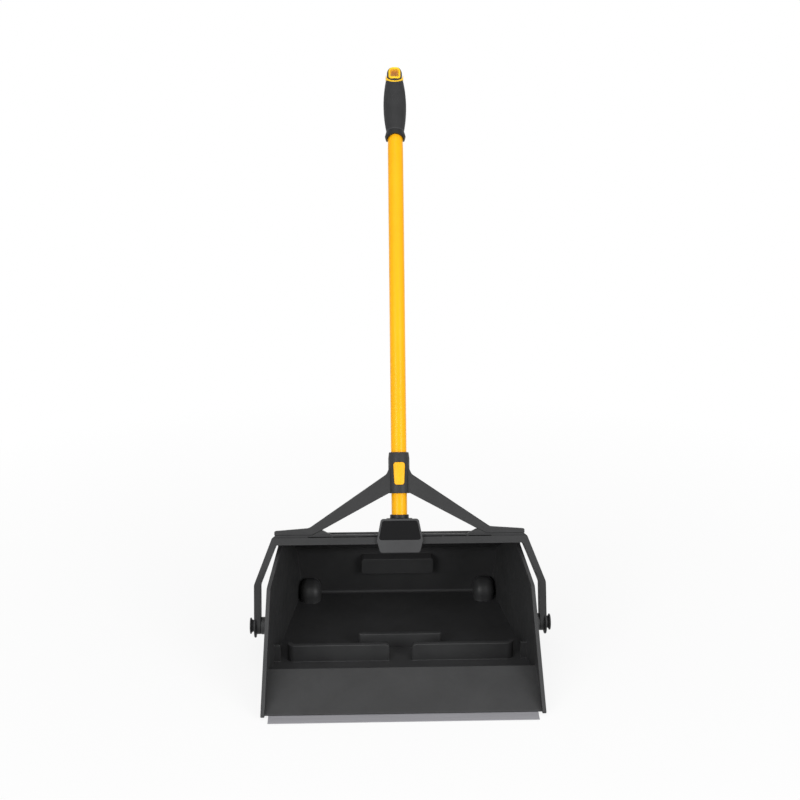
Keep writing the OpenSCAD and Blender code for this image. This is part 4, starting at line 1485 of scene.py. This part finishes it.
class Grip(SubAssembly):
    """The ring, the soft sleeve with its diamond relief, and the core with the hang eyelet in its cap."""

    sizes = GripSizes()

    def build(self) -> list[Piece]:
        """Makes the grip's pieces.

        Returns:
            The pieces.
        """
        s = self.sizes
        self.finished(Seat(Body.HANDLE, "grip_ring", "ring_plastic"), s.ring_edge, RING_BLACK)
        self.sleeve()
        self.finished(Seat(Body.HANDLE, "grip_core", "core_plastic"), s.edge, CORE_YELLOW)
        self.finished(Seat(Body.HANDLE, "grip_cap", "cap_plastic"), s.edge, CAP_BLACK)
        return self.pieces

    def swell(self, z: float) -> float:
        """Works out how far the sleeve swells.

        Args:
            z: The height above its lower end.

        Returns:
            The sleeve's radius there.
        """
        s = self.sizes
        rise = s.radius - s.end_radius
        arc = ((s.length / 2) ** 2 + rise**2) / (2 * rise)
        return s.radius - arc + math.sqrt(arc**2 - (z - s.length / 2) ** 2)

    def sunk(self, angle: float, z: float) -> float:
        """Works out the depth of the sunk diamonds at a place on the sleeve.

        Args:
            angle: The angle round the sleeve, in radians.
            z: The height above its lower end.

        Returns:
            The depth in metres, zero on the net of ridges between the diamonds.
        """
        s = self.sizes
        across = angle / (2 * math.pi) * s.diamonds
        along = z / s.diamond_h
        near = min(abs((across + sign * along + 0.5) % 1.0 - 0.5) for sign in (-1.0, 1.0))
        share = clamp(near / s.ridge_slope_share - s.ridge_flat_share)
        fade_in = clamp((z - s.relief_low) / s.relief_fade)
        fade_out = clamp((s.relief_top - z) / s.relief_fade)
        return s.relief * share * fade_in * fade_out

    def sleeve(self) -> None:
        """Shapes the sleeve from a cylinder: rings, swelling, diamond relief and closed ends."""
        s = self.sizes
        obj = Bench.primitive(
            "sleeve",
            bpy.ops.mesh.primitive_cylinder_add,
            vertices=s.sides,
            radius=s.radius,
            depth=s.length,
            end_fill_type="NOTHING",
            location=(0.0, 0.0, s.length / 2),
        )
        Bench.settle(obj, Matrix.Identity(4))
        narrow = s.bore / s.end_radius
        with Bench.editing(obj):
            Bench.pick(obj, Element.EDGE, lambda edge: abs(edge.verts[0].co.z - edge.verts[1].co.z) > NEAR)
            bpy.ops.mesh.subdivide(number_cuts=s.rings)
            mesh = bmesh.from_edit_mesh(obj.data)
            for vert in mesh.verts:
                angle = math.atan2(vert.co.x, -vert.co.y)
                radius = self.swell(vert.co.z) - self.sunk(angle, vert.co.z)
                vert.co.x, vert.co.y = radius * math.sin(angle), -radius * math.cos(angle)
            bmesh.update_edit_mesh(obj.data)
            for end in (0.0, s.length):
                Bench.pick(
                    obj, Element.EDGE, lambda edge: all(abs(v.co.z - end) < NEAR for v in edge.verts)
                )
                bpy.ops.mesh.extrude_edges_move()
                bpy.ops.transform.resize(value=(narrow, narrow, 1.0))
            Bench.pick(obj, Element.EDGE, lambda edge: edge.is_boundary)
            bpy.ops.mesh.bridge_edge_loops()
        Bench.tidy(obj)
        round_bar = {"vertices": s.saddle_sides, "radius": s.saddle_r, "depth": 4 * s.radius}
        cutter = Bench.primitive("saddle", bpy.ops.mesh.primitive_cylinder_add, **round_bar)
        Bench.cut(obj, cutter, Matrix.Translation((0.0, 0.0, s.saddle)) @ rotation(90.0, "X"))
        Bench.settle(obj, GRIP_FRAME @ Matrix.Translation((0.0, 0.0, s.low)))
        Bench.shade(obj, s.smooth)
        self.place(obj, Seat(Body.HANDLE, "grip_sleeve", "grip_rubber"), GRIP_RUBBER)


@dataclass
class Lamp:
    """An area lamp that faces a point."""

    name: str
    spot: Triple
    aim: Triple
    size: Pair
    watts: float

    def hang(self) -> None:
        """Adds the lamp to the scene and turns it to its aim."""
        data = bpy.data.lights.new(self.name, "AREA")
        data.shape = "RECTANGLE"
        data.size, data.size_y = self.size
        data.energy = self.watts
        Bench.aim(Bench.add(self.name, data), self.spot, Vector(self.aim) - Vector(self.spot))


@dataclass
class Studio:
    """The white studio: floor, world, lamps and the camera at the photograph's angle."""

    white: tuple[float, ...] = (1.0, 1.0, 1.0, 1.0)
    floor_size: float = 14.0
    floor_drop: float = 0.4 * MM
    floor_colour: tuple[float, ...] = (0.86, 0.86, 0.86, 1.0)
    floor_reach: Pair = (0.45, 1.5)
    floor_glow: Pair = (0.84, 1.0)
    world_fill: float = 0.42
    camera_spot: Triple = (-0.0525, -1.6434, 1.0663)
    camera_aim: Triple = (0.0270, 0.9459, -0.3234)
    lens: float = 56.49
    sensor: float = 36.0
    lamps: list[Lamp] = field(
        default_factory=lambda: [
            Lamp("key_box", (-0.35, -1.95, 2.9), (0.0, 0.15, 0.2), (2.0, 1.4), 19.0),
            Lamp("left_fill", (-2.0, -2.5, 1.3), (0.0, 0.2, 0.1), (1.6, 1.6), 56.0),
            Lamp("right_fill", (2.2, -2.3, 1.3), (0.0, 0.2, 0.1), (1.6, 1.6), 60.0),
            Lamp("top_box", (0.0, 0.1, 3.0), (0.0, 0.2, 0.2), (2.0, 2.0), 12.0),
        ]
    )

    def build(self) -> None:
        """Sets up the whole studio."""
        self.floor()
        self.world()
        for lamp in self.lamps:
            lamp.hang()
        self.camera()
        bpy.context.scene.view_settings.view_transform = "Standard"

    @staticmethod
    def bare(holder: bpy.types.Material | bpy.types.World, first: str) -> Wiring:
        """Gives a material or the world a node tree without its first shader.

        Args:
            holder: The material or world.
            first: The name of the node that is taken out.

        Returns:
            The tree's wiring.
        """
        holder.use_nodes = True
        nodes = holder.node_tree.nodes
        nodes.remove(nodes[first])
        return Wiring(holder.node_tree)

    @staticmethod
    def seen(wiring: Wiring) -> Socket:
        """Adds a factor that is one for rays from the camera, from a gloss and through glass.

        Args:
            wiring: The tree that uses it.

        Returns:
            The factor.
        """
        rays = wiring.tree.nodes.new("ShaderNodeLightPath").outputs
        seen = rays["Is Camera Ray"]
        for ray in ("Is Glossy Ray", "Is Transmission Ray"):
            seen = wiring.node("Math", seen, rays[ray], operation="MAXIMUM")
        return seen

    def floor(self) -> None:
        """Lays a pale floor that looks white and keeps the object's shadow."""
        plane = {"size": self.floor_size, "location": (0, 0, -self.floor_drop)}
        obj = Bench.primitive("studio_floor", bpy.ops.mesh.primitive_plane_add, **plane)
        material = bpy.data.materials.new("studio_white")
        wiring = self.bare(material, "Principled BSDF")
        place = wiring.node("TexCoord", out="Object")
        reach = wiring.node("VectorMath", place, operation="LENGTH", out="Value")
        fade = wiring.spread(reach, self.floor_glow, self.floor_reach)
        part = wiring.node("Math", self.seen(wiring), fade, operation="MULTIPLY")
        matt = wiring.node("BsdfDiffuse", Color=self.floor_colour)
        glow = wiring.node("Emission", Color=self.white, Strength=1.0)
        mixed = wiring.node("MixShader", part, matt, glow)
        wiring.fill(wiring.tree.nodes["Material Output"], {"Surface": mixed})
        obj.data.materials.append(material)

    def world(self) -> None:
        """Surrounds the scene with white that fills the shadows at a lower strength."""
        world = bpy.data.worlds.new("studio_world")
        bpy.context.scene.world = world
        wiring = self.bare(world, "Background")
        fill = wiring.node("Background", Color=self.white, Strength=self.world_fill)
        white = wiring.node("Background", Color=self.white, Strength=1.0)
        mixed = wiring.node("MixShader", self.seen(wiring), fill, white)
        wiring.fill(wiring.tree.nodes["World Output"], {"Surface": mixed})

    def camera(self) -> None:
        """Sets the camera at the photograph's place and angle."""
        data = bpy.data.cameras.new("photo_camera")
        data.lens = self.lens
        data.sensor_width = self.sensor
        obj = Bench.add("photo_camera", data)
        Bench.aim(obj, self.camera_spot, Vector(self.camera_aim))
        bpy.context.scene.camera = obj


def main() -> None:
    """Builds the sub-assemblies in order, then the studio."""
    logging.basicConfig(level=logging.INFO, format="%(name)s: %(message)s")
    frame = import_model()
    stock = Stock(frame["nodes"])
    for group in (Pan, Wheels, Yoke, Handle, Grip):
        made = group(stock).build()
        LOG.info("%s: %d pieces", group.__name__, len(made))
    Studio().build()


if __name__ == "__main__":
    main()
